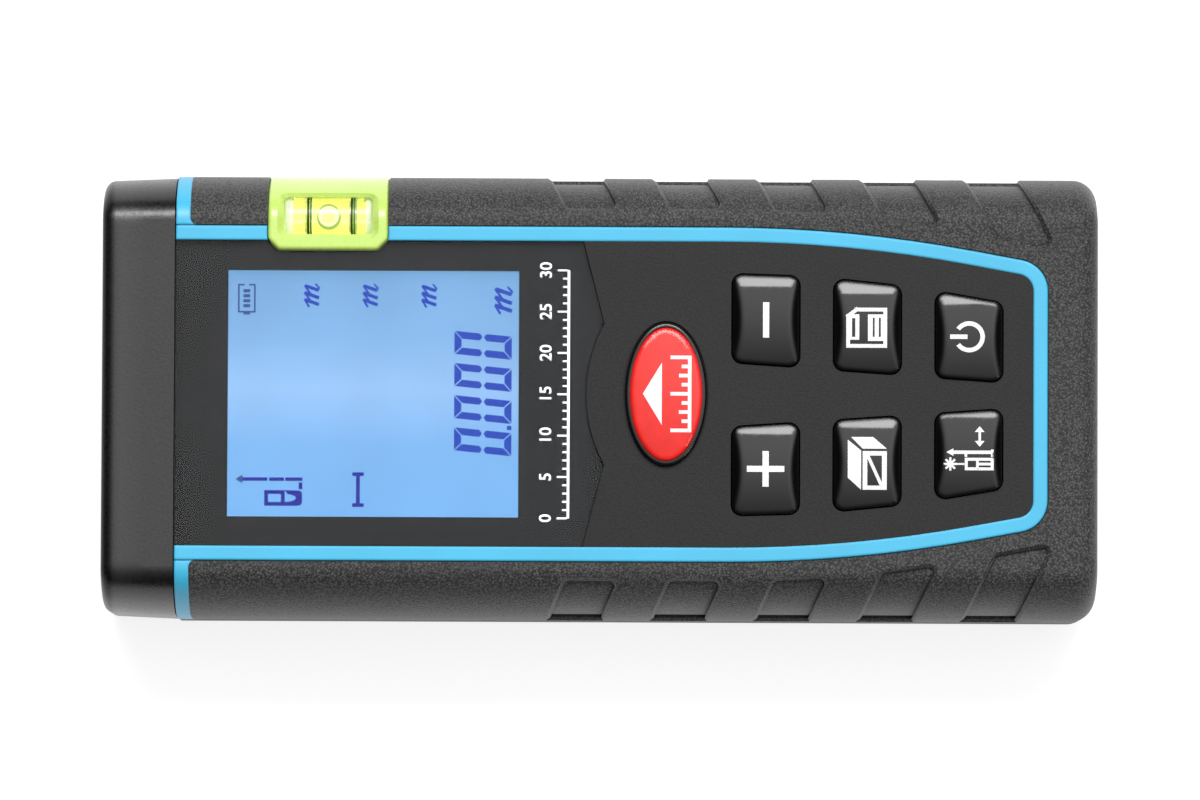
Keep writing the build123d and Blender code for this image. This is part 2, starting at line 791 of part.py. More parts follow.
# ---- Keypad ----------------------------------------------------------------
def key_cap(row, side):
    """One key: crowned cap with sloping sides, retaining flange and plunger."""
    x, y = key_middle(row)
    top = face_z + key_rise
    low = top - key_slope_height
    rear = y - key_length / 2
    front = y + key_length / 2
    roof = Polyline((rear, flange_low_z), (rear, low), (rear + key_slope_width, top),
                    (front - key_slope_width, top), (front, low), (front, flange_low_z), close=True)
    body = upright(key_outline(row, 0), flange_low_z, top)
    body &= extrude(Plane.YZ * make_face(roof), half_width, dir=(1, 0, 0))
    body &= rod_y(x, top - key_crown, key_crown, rear, front)
    body = fillet(body.faces().sort_by(Axis.Z)[-1].edges(), key_crest_round)
    flange = upright(key_outline(row, flange_width), flange_low_z, flange_top_z)
    key = body + flange + rod_z(x, y, plunger_radius, plunger_low_z, flange_low_z)
    return key if side > 0 else mirror(key, about=Plane.YZ)


def measure_button():
    """Crowned oval cap of the measuring key."""
    low = face_z + skirt_rise - button_sink
    top = face_z + button_rise
    plan = Pos(0, measure_y) * Ellipse(measure_half_width, measure_half_length)
    crown = Pos(0, measure_y, top - button_crown) * Sphere(button_crown)
    button = upright(plan, low, top + 1) & crown
    return fillet(button.faces().sort_by(Axis.Z)[-1].edges(), button_round)


def measure_skirt():
    """Dark skirt of the measuring key, with its flange and plunger."""
    top = face_z + skirt_rise
    skirt = upright(oval(0), flange_low_z, top)
    skirt = fillet(skirt.faces().sort_by(Axis.Z)[-1].edges(), skirt_round)
    skirt += upright(oval(flange_width), flange_low_z, flange_top_z)
    skirt += rod_z(0, measure_y, plunger_radius, plunger_low_z, flange_low_z)
    seat = Pos(0, measure_y) * Ellipse(measure_half_width, measure_half_length)
    return skirt - upright(seat, top - button_sink, beyond_face)


def keypad_mat():
    """Silicone sheet under the key flanges, standing on a rib round its edge."""
    half = panel_x - key_edge_margin + mat_margin
    rear = back_y + key_first_row - key_length / 2 - flange_width - mat_margin
    front = measure_y + measure_half_length + skirt_width + flange_width + mat_margin
    top = flange_low_z - key_travel - fit_gap
    mat = block(-half, half, rear, front, board_top_z, top)
    mat -= block(-half + mat_rib, half - mat_rib, rear + mat_rib, front - mat_rib, 0, top - mat_thickness)
    for x, y in plunger_places():
        mat -= rod_z(x, y, plunger_radius + plunger_hole_gap, 0, beyond_face)
    return mat


def snap_domes():
    """One snap dome under each plunger."""
    radius = (dome_radius**2 + dome_height**2) / (2 * dome_height)
    cap = Pos(0, 0, dome_height - radius) * Sphere(radius) & block(-far, far, -far, far, 0, dome_height + 1)
    return [Pos(x, y, board_top_z) * cap for x, y in plunger_places()]


# ---- Circuit board ---------------------------------------------------------
def main_board():
    board = block(-board_half, board_half, board_back_y, board_front_y, board_low_z, board_top_z)
    for x, y in post_places():
        board -= rod_z(x, y, board_screw_radius + fit_gap, 0, beyond_face)
    return board


def pan_screw(x, y, seat_z, turned, radius, head_radius, head_height, length):
    """A cross-drive screw with its head under the seat, or over it when turned."""
    head = rod_z(0, 0, head_radius, -head_height, 0)
    head = fillet(head.edges().group_by(Axis.Z)[0], head_height / 3)
    screw = head + rod_z(0, 0, radius, 0, length)
    for angle in (0, 90):
        arm = Box(2 * drive_radius, drive_radius / 2, drive_depth)
        screw -= Pos(0, 0, -head_height + drive_depth / 2) * Rot(0, 0, angle) * arm
    return Pos(x, y, seat_z) * Rot(180 if turned else 0, 0, 0) * screw


def board_screws():
    return [pan_screw(x, y, board_low_z, False, board_screw_radius, board_screw_head,
                      board_screw_head_height, board_screw_length) for x, y in post_places()]


def housing_screws():
    return [pan_screw(x, y, screw_head_depth, False, screw_radius, screw_head_radius,
                      screw_head_height, screw_length) for x, y in boss_places()]


def carrier_screws():
    seat = base_low_z + base_thickness
    return [pan_screw(x, y, seat, True, carrier_screw_radius, screw_head_radius,
                      screw_head_height, base_thickness + base_low_z - shell_wall)
            for x, y in carrier_screw_places()]


def board_chips():
    """Controller, memory and converter under the board."""
    top = board_low_z
    low = top - chip_thickness
    rear = board_back_y + controller_from_rear
    memory_x = controller_width / 2 + memory_gap
    memory_y = rear + (controller_width - memory_length) / 2
    converter_x = -board_half + converter_side
    converter_y = view_back_y - converter_from_view
    return [
        block(-controller_width / 2, controller_width / 2, rear, rear + controller_width, low, top),
        block(memory_x, memory_x + memory_width, memory_y, memory_y + memory_length, low, top),
        block(converter_x, converter_x + converter_width, converter_y,
              converter_y + converter_length, low, top),
    ]


def buzzer():
    """Round sounder under the board, with its sound hole."""
    x = board_half - buzzer_side
    y = view_back_y - buzzer_from_view
    low = board_low_z - buzzer_height
    body = rod_z(x, y, buzzer_radius, low, board_low_z)
    return body - rod_z(x, y, buzzer_hole, low - 1, low + buzzer_height / 3)


# ---- Batteries and contacts ------------------------------------------------
def cell(side):
    """A cell; the right one has its nub at the rear, the left one at the front."""
    x = side * cell_pitch / 2
    plate = contact_gap + contact_thickness
    rear = bay_back_y + plate + (dimple_height if side > 0 else spring_height)
    front = rear + cell_length
    if side > 0:
        return rod_y(x, cell_axis_z, cell_radius, rear + cell_nub_height, front - seat_gap) + \
            rod_y(x, cell_axis_z, cell_nub_radius, rear, front - 1)
    return rod_y(x, cell_axis_z, cell_radius, rear + seat_gap, front - cell_nub_height) + \
        rod_y(x, cell_axis_z, cell_nub_radius, rear + 1, front)


def coil_spring(x, y, direction):
    """A conical contact spring that stands on its plate and narrows towards the cell."""
    path = Helix(pitch=spring_height / spring_turns, height=spring_height - 2 * spring_wire,
                 radius=spring_base_radius, cone_angle=spring_cone)
    wire = sweep(Plane(origin=path @ 0, z_dir=path % 0) * Circle(spring_wire), path=path, is_frenet=True)
    turn = Rot(-90 * direction, 0, 0)
    return Pos(x, y + direction * (spring_wire - spring_seat), cell_axis_z) * turn * wire


def tail_places():
    return [-cell_pitch / 2, cell_pitch / 2]


def contact_plate(x0, x1, y):
    return block(x0, x1, y, y + contact_thickness, contact_low_z, contact_high_z)


def bridge_contact():
    """Rear plate that joins the two cells, with a spring for one and a dimple for the other."""
    y = bay_back_y + contact_gap
    half = bay_half - bay_side_gap
    face_y = y + contact_thickness
    plate = contact_plate(-half, half, y)
    dimple = cone_y(cell_pitch / 2, cell_axis_z, dimple_radius, dimple_radius / 2,
                    face_y, face_y + dimple_height - seat_gap)
    return plate + dimple + coil_spring(-cell_pitch / 2, face_y, 1)


def front_contact(side):
    """Front plate with a tail up to the board: a spring on the right, a dimple on the left."""
    y = bay_front_y - contact_gap - contact_thickness
    x = side * cell_pitch / 2
    reach = cell_radius - bay_side_gap
    plate = contact_plate(x - reach, x + reach, y)
    plate += block(x - tail_width / 2, x + tail_width / 2, y, y + contact_thickness,
                   contact_high_z - 1, board_low_z)
    if side > 0:
        return plate + coil_spring(x, y, -1)
    return plate + cone_y(x, cell_axis_z, dimple_radius / 2, dimple_radius,
                          y - dimple_height + seat_gap, y)


def door_plan(gap):
    x = door_half + gap
    rear = door_back_y - (door_back_y - door_edge_y if gap else 0)
    front = door_front_y + gap
    outline = make_face(Polyline((-x, rear), (x, rear), (x, front), (-x, front), close=True))
    far_corners = outline.vertices().group_by(Axis.Y)[-1]
    return fillet(far_corners, door_corner)


def battery_door():
    """Door that swings on two tabs hooked over the shell's rear lip."""
    top = door_recess + door_thickness
    door = upright(door_plan(0), door_recess, top)
    rear_edge = door.edges().filter_by(Axis.X).group_by(Axis.Y)[0].sort_by(Axis.Z)[0]
    door = chamfer(rear_edge, door_bevel)
    tab_low = door_lip + fit_gap
    for side in (-1, 1):
        x = side * door_tab_x
        half = door_tab_width / 2
        door += block(x - half, x + half, door_edge_y - door_tab_reach, door_back_y + door_tab_root,
                      tab_low, tab_low + door_tab_thickness)
    for y in (bay_back_y + bay_length / 4, bay_back_y + bay_length * 3 / 4):
        rib = block(-bay_half + cradle_side, bay_half - cradle_side, y - cradle_thickness / 2,
                    y + cradle_thickness / 2, top - seat_gap, cell_axis_z - cell_radius + cradle_rise)
        for side in (-1, 1):
            rib -= rod_y(side * cell_pitch / 2, cell_axis_z, cell_radius + cradle_gap, y - 2, y + 2)
        door += rib
    for number in range(ridge_count):
        y = door_front_y - ridge_pitch * (number + 1)
        door -= block(-ridge_half, ridge_half, y - ridge_width / 2, y + ridge_width / 2,
                      -1, door_recess + ridge_depth)
    return door


# ---- Optics ----------------------------------------------------------------
def optics_carrier():
    """Cast carrier: receiver barrel and cone, laser barrel sleeve, base and web."""
    front = carrier_front_y
    rear = carrier_back_y
    outer = receiver_lens_radius + barrel_wall
    sleeve = laser_barrel_radius + barrel_wall
    drum = outer * drum_share
    carrier = rod_y(receiver_x, optic_z, outer, front - drum, front)
    carrier += cone_y(receiver_x, optic_z, throat_radius + 2 * barrel_wall, outer, rear, front - drum)
    carrier += rod_y(emitter_x, optic_z, sleeve, front - laser_barrel_length, front)
    carrier += block(-base_half_width, base_half_width, rear, front - 1,
                     base_low_z, base_low_z + base_thickness)
    carrier += block(receiver_x - 1, receiver_x + 1, rear, front - drum / 2, base_low_z, optic_z)
    carrier += block(emitter_x - 1, emitter_x + 1, front - laser_barrel_length, front - 1,
                     base_low_z, optic_z)
    carrier -= cone_y(receiver_x, optic_z, throat_radius, receiver_lens_radius - retainer_width,
                      rear, front - lens_seat_depth)
    carrier -= rod_y(receiver_x, optic_z, throat_radius, rear - 1, rear + 1)
    carrier -= rod_y(receiver_x, optic_z, receiver_lens_radius + seat_gap, front - lens_seat_depth, far)
    carrier -= rod_y(emitter_x, optic_z, laser_barrel_radius + pilot_gap, 0, far)
    for x, y in carrier_screw_places():
        carrier -= rod_z(x, y, carrier_screw_radius + fit_gap, 0, base_low_z + base_thickness)
        carrier -= rod_z(x, y, screw_head_radius + fit_gap, base_low_z + base_thickness, optic_z * 2)
    return carrier


def lens_sphere():
    """Radius of the collecting lens's front surface."""
    return (receiver_lens_radius**2 + lens_crown**2) / (2 * lens_crown)


def receiver_lens():
    """Plano-convex collecting lens, turned from its half profile."""
    tip = lens_edge + lens_crown
    profile = make_face([
        Line((0, 0), (receiver_lens_radius, 0)),
        Line((receiver_lens_radius, 0), (receiver_lens_radius, lens_edge)),
        CenterArc((0, tip - lens_sphere()), lens_sphere(), lens_rim_angle(), 90 - lens_rim_angle()),
        Line((0, tip), (0, 0)),
    ])
    rear = carrier_front_y - lens_seat_depth + seat_gap
    return Pos(receiver_x, rear, optic_z) * revolve(profile, Axis.Y)


def lens_rim_angle():
    """Angle of the lens's rim above the level of its front surface's centre."""
    return degrees(acos(receiver_lens_radius / lens_sphere()))


def lens_retainer():
    front = carrier_front_y
    inner = receiver_lens_radius - retainer_width
    crown = lens_crown - lens_sphere() + sqrt(lens_sphere()**2 - inner**2)
    rear = front - lens_seat_depth + lens_edge + crown + 2 * seat_gap
    ring = rod_y(receiver_x, optic_z, receiver_lens_radius, rear, front)
    return ring - rod_y(receiver_x, optic_z, inner, rear - 1, front + 1)


def laser_barrel():
    front = carrier_front_y
    barrel = rod_y(emitter_x, optic_z, laser_barrel_radius, front - laser_barrel_length, front)
    return barrel - rod_y(emitter_x, optic_z, laser_barrel_bore, front - far, far)


def collimator_lens():
    """Small lens set back in the mouth of the laser barrel."""
    front = carrier_front_y - collimator_inset
    return rod_y(emitter_x, optic_z, laser_barrel_bore - pilot_gap, front - collimator_thickness, front)


def laser_diode():
    """Diode can with its flange and three leads."""
    seat = carrier_front_y - laser_barrel_length
    rear = seat - diode_flange_thickness
    diode = rod_y(emitter_x, optic_z, diode_flange, rear, seat)
    diode += rod_y(emitter_x, optic_z, laser_barrel_bore - seat_gap,
                   rear + lead_radius, seat + diode_can_length)
    for x, z in ((-lead_spread, 0), (lead_spread, 0), (0, lead_spread)):
        diode += rod_y(emitter_x + x, optic_z + z, lead_radius, rear - lead_length, rear + lead_radius)
    return diode


def detector_board():
    front = carrier_back_y - seat_gap
    return block(receiver_x - detector_board_half, receiver_x + detector_board_half,
                 front - detector_board_thickness, front, base_low_z, board_low_z - detector_board_top_gap)


def detector_can():
    rear = carrier_back_y - seat_gap
    return rod_y(receiver_x, optic_z, detector_can_radius, rear, rear + detector_can_length)


def detector_ribbon():
    """Flat cable from the detector board to the main board."""
    y = carrier_back_y - seat_gap - detector_board_thickness
    high = board_low_z - ribbon_drop
    low = high - ribbon_rise
    bend = y - ribbon_reach
    path = FilletPolyline((y, low), (bend, low), (bend, high), (bend - ribbon_run, high), radius=ribbon_bend)
    band = trace(path, line_width=ribbon_thickness)
    side = Plane.YZ.offset(receiver_x - ribbon_width / 2)
    return extrude(side * band, ribbon_width, dir=(1, 0, 0))


def ribbon_sockets():
    """A socket on each board, closed round the ends of the flat cable."""
    y = carrier_back_y - seat_gap - detector_board_thickness
    half = ribbon_width / 2 + socket_wall
    high = board_low_z - ribbon_drop
    low = high - ribbon_rise
    end = y - ribbon_reach - ribbon_run
    lower = block(receiver_x - half, receiver_x + half, y - socket_depth, y,
                  low - socket_wall, low + socket_wall)
    upper = block(receiver_x - half, receiver_x + half, end + socket_depth / 3 - socket_length,
                  end + socket_depth / 3, high - socket_wall, board_low_z)
    ribbon = detector_ribbon()
    return [lower - ribbon, upper - ribbon]


def cover_glass(x, radius):
    rear = front_y - cap_wall - cover_glass_thickness
    return rod_y(x, optic_z, radius + cover_glass_lap, rear, front_y - cap_wall)


# ---- Spirit level ----------------------------------------------------------
def vial_span(radius, reach):
    return rod_y(vial_x, vial_z, radius, level_y - reach, level_y + reach)


def level_rim(edge):
    """True unless the edge runs along the body on the shoulder."""
    start, end = edge @ 0, edge @ 1
    return abs(start.X - end.X) > seat_gap or start.X < shoulder_x - seat_gap


def level_frame():
    """Tinted block flush with the side, with the vial's bevelled window cut from above."""
    frame = envelope & upright(level_outline(0), level_foot_z, beyond_face)
    roof = frame.faces().filter_by(lambda face: face.normal_at().Z > pilot_gap)
    rim = [edge for face in roof for edge in face.edges() if level_rim(edge)]
    frame = fillet(rim, level_edge_round)
    half = vial_radius + vial_window_gap
    reach = vial_length / 2 + vial_window_gap
    floor = vial_z - vial_radius - vial_window_gap
    opening = Pos(vial_x, level_y) * RectangleRounded(2 * half, 2 * reach, level_window_round)
    frame -= upright(opening, floor, beyond_face)
    window = upright(opening, vial_z, beyond_face)

    def on_mouth(edge):
        return edge.center().Z > vial_z and window.distance_to(edge @ 0.5) < pilot_gap

    rising = frame.edges().filter_by(Axis.Z)
    return chamfer([edge for edge in frame.edges().filter_by(on_mouth) if edge not in rising], level_bevel)


def level_vial():
    """Closed clear tube with rounded ends."""
    bore = vial_radius - vial_wall
    tube = vial_span(vial_radius, vial_length / 2)
    tube = fillet(tube.edges().filter_by(GeomType.CIRCLE), vial_end_round)
    return tube - vial_span(bore, vial_length / 2 - vial_end_wall)


def level_rings():
    """Two reading rings, printed inside the bore."""
    bore = vial_radius - vial_wall
    rings = []
    for side in (-1, 1):
        y = level_y + side * ring_spacing / 2
        ring = rod_y(vial_x, vial_z, bore, y - ring_width / 2, y + ring_width / 2)
        rings.append(ring - rod_y(vial_x, vial_z, bore - ring_thickness, y - 1, y + 1))
    return rings


def level_bubble():
    """Long air bubble, free to slide along the vial."""
    bubble = scale(Sphere(bubble_radius), by=(1, bubble_half_length / bubble_radius, 1))
    return Pos(vial_x, level_y, vial_z) * bubble


# ---- Write every piece -----------------------------------------------------
def pieces():
    made = {
        "front_shell": front_shell(),
        "rear_shell": rear_shell(),
        "grip_jacket": grip_jacket(),
        "stripe_trim": stripe_trim(),
        "end_cap": end_cap(),
        "display_window": display_window(),
        "window_mask": window_mask(),
        "lcd_panel": lcd_panel(),
        "lcd_backlight": lcd_backlight(),
        "lcd_bezel": lcd_bezel(),
        "contact_strip": contact_strip(),
        "measure_button": measure_button(),
        "measure_skirt": measure_skirt(),
        "keypad_mat": keypad_mat(),
        "snap_domes": snap_domes(),
        "main_board": main_board(),
        "board_chips": board_chips(),
        "buzzer": buzzer(),
        "board_screws": board_screws(),
        "housing_screws": housing_screws(),
        "carrier_screws": carrier_screws(),
        "battery_door": battery_door(),
        "left_cell": cell(-1),
        "right_cell": cell(1),
        "bridge_contact": bridge_contact(),
        "negative_contact": front_contact(1),
        "positive_contact": front_contact(-1),
        "optics_carrier": optics_carrier(),
        "receiver_lens": receiver_lens(),
        "lens_retainer": lens_retainer(),
        "laser_barrel": laser_barrel(),
        "collimator_lens": collimator_lens(),
        "laser_diode": laser_diode(),
        "detector_board": detector_board(),
        "detector_can": detector_can(),
        "detector_ribbon": detector_ribbon(),
        "ribbon_sockets": ribbon_sockets(),
        "receiver_glass": cover_glass(receiver_x, receiver_aperture),
        "emitter_glass": cover_glass(emitter_x, emitter_aperture),
        "level_frame": level_frame(),
        "level_vial": level_vial(),
        "level_rings": level_rings(),
        "level_bubble": level_bubble(),
    }
    names = {(2, 1): "minus_key", (2, -1): "plus_key", (1, 1): "memory_key",
             (1, -1): "volume_key", (0, 1): "clear_key", (0, -1): "reference_key"}
    for (row, side), name in names.items():
        made[name] = key_cap(row, side)
    return made


os.makedirs("parts", exist_ok=True)
for name, solid in pieces().items():
    if isinstance(solid, list):
        solid = Compound(children=solid)
    export_step(solid, f"parts/{name}.step")
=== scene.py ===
from math import cos, pi, radians, sin

import bmesh
import bpy
from mathutils import Matrix, Vector
from mathutils.bvhtree import BVHTree


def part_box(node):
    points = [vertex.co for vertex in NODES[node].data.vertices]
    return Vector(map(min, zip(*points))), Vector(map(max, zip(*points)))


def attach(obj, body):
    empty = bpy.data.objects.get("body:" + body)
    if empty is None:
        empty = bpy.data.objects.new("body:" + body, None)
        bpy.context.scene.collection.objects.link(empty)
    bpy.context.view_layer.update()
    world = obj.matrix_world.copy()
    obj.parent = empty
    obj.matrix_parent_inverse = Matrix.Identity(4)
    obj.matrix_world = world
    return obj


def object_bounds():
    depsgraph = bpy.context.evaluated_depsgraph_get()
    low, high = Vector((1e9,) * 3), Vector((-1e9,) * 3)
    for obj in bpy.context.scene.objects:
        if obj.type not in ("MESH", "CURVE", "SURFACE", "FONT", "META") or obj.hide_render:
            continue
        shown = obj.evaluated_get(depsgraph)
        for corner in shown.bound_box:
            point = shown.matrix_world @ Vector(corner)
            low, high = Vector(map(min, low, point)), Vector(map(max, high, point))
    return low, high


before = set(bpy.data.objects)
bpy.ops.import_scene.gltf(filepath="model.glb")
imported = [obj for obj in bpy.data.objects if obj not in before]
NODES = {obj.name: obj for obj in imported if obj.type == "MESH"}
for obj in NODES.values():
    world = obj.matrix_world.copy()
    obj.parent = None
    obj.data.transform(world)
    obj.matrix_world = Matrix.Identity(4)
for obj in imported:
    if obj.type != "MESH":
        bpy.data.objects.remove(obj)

cad_low, cad_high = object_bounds()
MM = 0.001


# ---- Sizes in the object's own frame, millimetres ---------------------------
def spans(node):
    """Lowest and highest corner of a CAD node, millimetres."""
    low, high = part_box(node)
    return low / MM, high / MM


def middle(node):
    """Middle of a CAD node's box, millimetres."""
    low, high = spans(node)
    return (low + high) / 2


face_top = spans("front_shell")[1].z
mask_low, mask_high = spans("window_mask")
window_low = spans("display_window")[0]
lcd_low, lcd_high = spans("lcd_panel")
print_thick = 0.02
segment_gap = 0.02
print_z = (mask_high.z + window_low.z) / 2
lcd_z = lcd_high.z + segment_gap


# ---- Colours ----------------------------------------------------------------
def linear(r, g, b):
    """A display colour, 0 to 255, as the linear colour that shaders take."""
    out = []
    for v in (r, g, b):
        c = v / 255
        out.append(c / 12.92 if c <= 0.04045 else ((c + 0.055) / 1.055) ** 2.4)
    return tuple(out) + (1.0,)


def grey(value):
    """A neutral display colour, 0 to 255."""
    return linear(value, value, value)


def level(value):
    """A plain number, 0 to 1, as a neutral linear colour."""
    return (value, value, value, 1.0)


def shaded(colour, share):
    """A colour made darker or paler by a share of itself."""
    return tuple(min(c * (1 + share), 1.0) for c in colour[:3]) + (1.0,)


# ---- Node materials ---------------------------------------------------------
class Shade:
    """A node material with one Principled shader and short calls for its patterns.

    Values are sockets or plain numbers. A name such as Base_Color means the input "Base Color",
    and one such as _3 means the input with that number.
    """

    def __init__(self, name, **values):
        self.mat = bpy.data.materials.new(name)
        self.mat.use_nodes = True
        self.tree = self.mat.node_tree
        self.shader = self.tree.nodes["Principled BSDF"]
        self.place = self.add("ShaderNodeTexCoord").outputs["Object"]
        self.set(self.shader, values)

    def add(self, kind, attributes=None, **values):
        """A new node with its attributes and inputs set."""
        made = self.tree.nodes.new(kind)
        for key, value in (attributes or {}).items():
            setattr(made, key, value)
        self.set(made, values)
        return made

    def set(self, made, values):
        """Link or set a node's inputs."""
        for key, value in values.items():
            socket = made.inputs[int(key[1:])] if key[0] == "_" else made.inputs[key.replace("_", " ")]
            if hasattr(value, "is_output"):
                self.tree.links.new(value, socket)
            else:
                socket.default_value = value

    def noise(self, size, detail=3.0, rough=0.55, place=None):
        """Noise whose blotches are about this many millimetres across, 0 to 1."""
        made = self.add("ShaderNodeTexNoise", Vector=place or self.place, Scale=1 / (size * MM),
                        Detail=detail, Roughness=rough)
        return made.outputs["Fac"]

    def cells(self, size):
        """Distance to the middle of the nearest of many cells, this many millimetres across."""
        made = self.add("ShaderNodeTexVoronoi", Vector=self.place, Scale=1 / (size * MM))
        return made.outputs["Distance"]

    def to(self, value, low, high, from_low=0.3, from_high=0.7):
        """A value carried from one range to another and held inside it.

        The first range, where none is given, suits noise.
        """
        made = self.add("ShaderNodeMapRange", _0=value, _1=from_low, _2=from_high, _3=low, _4=high)
        return made.outputs["Result"]

    def math(self, kind, a, b=0.0):
        """Arithmetic on one or two numbers."""
        made = self.add("ShaderNodeMath", {"operation": kind}, _0=a, _1=b)
        return made.outputs[0]

    def mix(self, share, a, b):
        """One colour turned into another by a share, 0 to 1."""
        made = self.add("ShaderNodeMix", {"data_type": "RGBA"}, _0=share, _6=a, _7=b)
        return made.outputs[2]

    def turn(self, share, a, b):
        """One normal turned into another by a share, 0 to 1."""
        made = self.add("ShaderNodeMix", {"data_type": "VECTOR"}, _0=share, _4=a, _5=b)
        return made.outputs[1]

    def ramp(self, value, *stops):
        """A colour read off stops, each a place from 0 to 1 and its colour."""
        made = self.add("ShaderNodeValToRGB", Fac=value)
        ramp = made.color_ramp
        while len(ramp.elements) < len(stops):
            ramp.elements.new(0.5)
        for element, (at, colour) in zip(ramp.elements, stops):
            element.position = at
            element.color = colour
        return made.outputs["Color"]

    def axis(self, letter, place=None):
        """One coordinate of a place, the object's own unless another is given."""
        made = self.add("ShaderNodeSeparateXYZ", Vector=place or self.place)
        return made.outputs[letter]

    def share_along(self, letter, start, end):
        """How far a point lies from start to end along an axis, both in millimetres, 0 to 1."""
        return self.to(self.axis(letter), 0.0, 1.0, start * MM, end * MM)

    def bump(self, height, depth, strength=1.0, over=None):
        """Normals of a fine relief this many millimetres deep, laid over other normals if given."""
        values = {"Height": height, "Distance": depth * MM, "Strength": strength}
        if over is not None:
            values["Normal"] = over
        made = self.add("ShaderNodeBump", **values)
        return made.outputs["Normal"]

    def rounded(self, radius):
        """Normals softened round edges within this many millimetres."""
        made = self.add("ShaderNodeBevel", {"samples": 8}, Radius=radius * MM)
        return made.outputs["Normal"]

    def corners(self, reach):
        """Light share that falls off inside narrow corners, 0 to 1."""
        made = self.add("ShaderNodeAmbientOcclusion", {"samples": 6}, Distance=reach * MM)
        return made.outputs["AO"]

    def lamps_pass(self):
        """Light from the lamps goes straight through, so that what lies behind is lit."""
        out = self.tree.nodes["Material Output"]
        path = self.add("ShaderNodeLightPath")
        clear = self.add("ShaderNodeBsdfTransparent")
        both = self.add("ShaderNodeMixShader", _0=path.outputs["Is Shadow Ray"],
                        _1=self.shader.outputs[0], _2=clear.outputs[0])
        self.tree.links.new(both.outputs[0], out.inputs["Surface"])


# ---- Plastics, rubber and metals --------------------------------------------
def moulded(name, colour, rough, grain, depth, strength=0.5, spread=0.06, vary=0.12, speckle=0.0, soft=0.0,
            corner_shade=0.0, **values):
    """Moulded plastic or rubber, whose grain shows in height, gloss and colour.

    Roughness varies by spread, and the colour by vary in clouds and by speckle in dots. Edges are
    softened within soft millimetres; painted shade darkens corners within the last setting's millimetres.
    """
    cloud_grains = 30
    s = Shade(name, **values)
    edges = s.rounded(soft) if soft else None
    fine = s.noise(grain, 4.0)
    broad = s.noise(grain * cloud_grains, 2.0)
    tone = s.mix(s.to(broad, 0.0, 1.0), shaded(colour, -vary), shaded(colour, vary))
    if speckle:
        dots = s.mix(s.to(fine, 0.0, 1.0, 0.4, 0.62), shaded(colour, -speckle), shaded(colour, speckle))
        tone = s.mix(0.5, tone, dots)
    # Painted shade: narrow corners are darkened towards a tenth of the colour.
    if corner_shade:
        tone = s.mix(s.to(s.corners(corner_shade), 1.0, 0.0, 0.5, 0.9), tone, shaded(colour, -0.9))
    s.set(s.shader, {"Base Color": tone,
                     "Roughness": s.to(fine, rough - spread, rough + spread),
                     "Normal": s.bump(fine, depth, strength, edges)})
    return s.mat


def key_gloss(name, colour, rough=0.05, **values):
    """Lacquered key whose edges are softened all round."""
    s = Shade(name, **values)
    wave = s.noise(1.2, 2.0)
    s.set(s.shader, {"Base Color": s.mix(s.to(wave, 0.0, 1.0), shaded(colour, -0.08), shaded(colour, 0.08)),
                     "Roughness": s.to(wave, rough - 0.02, rough + 0.02),
                     "Normal": s.bump(wave, 0.004, 0.12, s.rounded(0.8))})
    return s.mat


def cap_plastic():
    """Leather-grained cap: softened front, painted shade on its front edge, a painted highlight behind."""
    stretch, soft = 7.5, 1.8
    front = spans("end_cap")[1].y
    s = Shade("cap_black")
    fine = s.noise(0.32, 3.0)
    along = s.share_along("Y", front - stretch, front)
    # Painted light: the tone ramp darkens the front edge as shade and makes a paler highlight band behind it.
    tone = s.ramp(along, (0.0, grey(6)), (0.35, grey(10)), (0.7, grey(30)), (0.8, grey(24)), (0.86, grey(4)))
    gloss = s.ramp(along, (0.8, level(0.56)), (0.88, level(0.2)))
    sharp = s.add("ShaderNodeNewGeometry").outputs["Normal"]
    edges = s.turn(s.to(along, 0.0, 1.0, 0.3, 0.5), sharp, s.rounded(soft))
    s.set(s.shader, {"Base Color": s.mix(s.to(fine, 0.0, 0.3), tone, grey(28)),
                     "Roughness": s.to(fine, 0.25, 0.37), "Specular IOR Level": gloss,
                     "Normal": s.bump(fine, 0.03, 0.5, edges)})
    return s.mat


def rubber_jacket():
    """Soft overmould: fine leathery speckle with sparse brighter grains, and painted shade in its corners."""
    s = Shade("jacket_rubber", Specular_IOR_Level=0.36, Sheen_Weight=0.22, Sheen_Roughness=0.4)
    speck = s.cells(0.25)
    fine = s.noise(0.2, 2.0, 0.6)
    broad = s.noise(9.0, 2.0)
    dots = s.to(speck, 1.0, 0.0, 0.2, 0.65)
    bright = s.math("MULTIPLY", dots, s.to(fine, 0.35, 1.0, 0.42, 0.6))
    grain = s.mix(bright, grey(22), linear(96, 96, 95))
    tone = s.mix(s.to(broad, 0.15, 0.38), grain, grey(40))
    # Painted shade: narrow corners and recesses are darkened towards near-black.
    tone = s.mix(s.to(s.corners(0.7), 1.0, 0.0, 0.45, 0.85), tone, grey(3))
    height = s.math("ADD", s.math("MULTIPLY", speck, 0.6), s.math("MULTIPLY", fine, 0.8))
    s.set(s.shader, {"Base Color": tone, "Roughness": s.to(fine, 0.5, 0.7),
                     "Normal": s.bump(height, 0.09, 0.8)})
    return s.mat


def lime_plastic():
    """Fluorescent lime plastic that lets light into it, with a painted glow that lifts its shade."""
    # The emission is painted light: a lime glow that lifts the plastic's shaded parts.
    s = Shade("lime_plastic", Subsurface_Weight=0.12, Subsurface_Radius=(0.004, 0.004, 0.002),
              Coat_Weight=0.4, Coat_Roughness=0.12, IOR=1.5, Emission_Strength=0.24,
              Emission_Color=linear(206, 234, 130))
    cloud = s.noise(5.0, 2.0)
    fine = s.noise(0.6, 3.0)
    s.set(s.shader, {"Base Color": s.mix(s.to(cloud, 0.0, 1.0), linear(156, 186, 80), linear(166, 192, 92)),
                     "Roughness": s.to(fine, 0.24, 0.32),
                     "Normal": s.bump(fine, 0.004, 0.15)})
    return s.mat


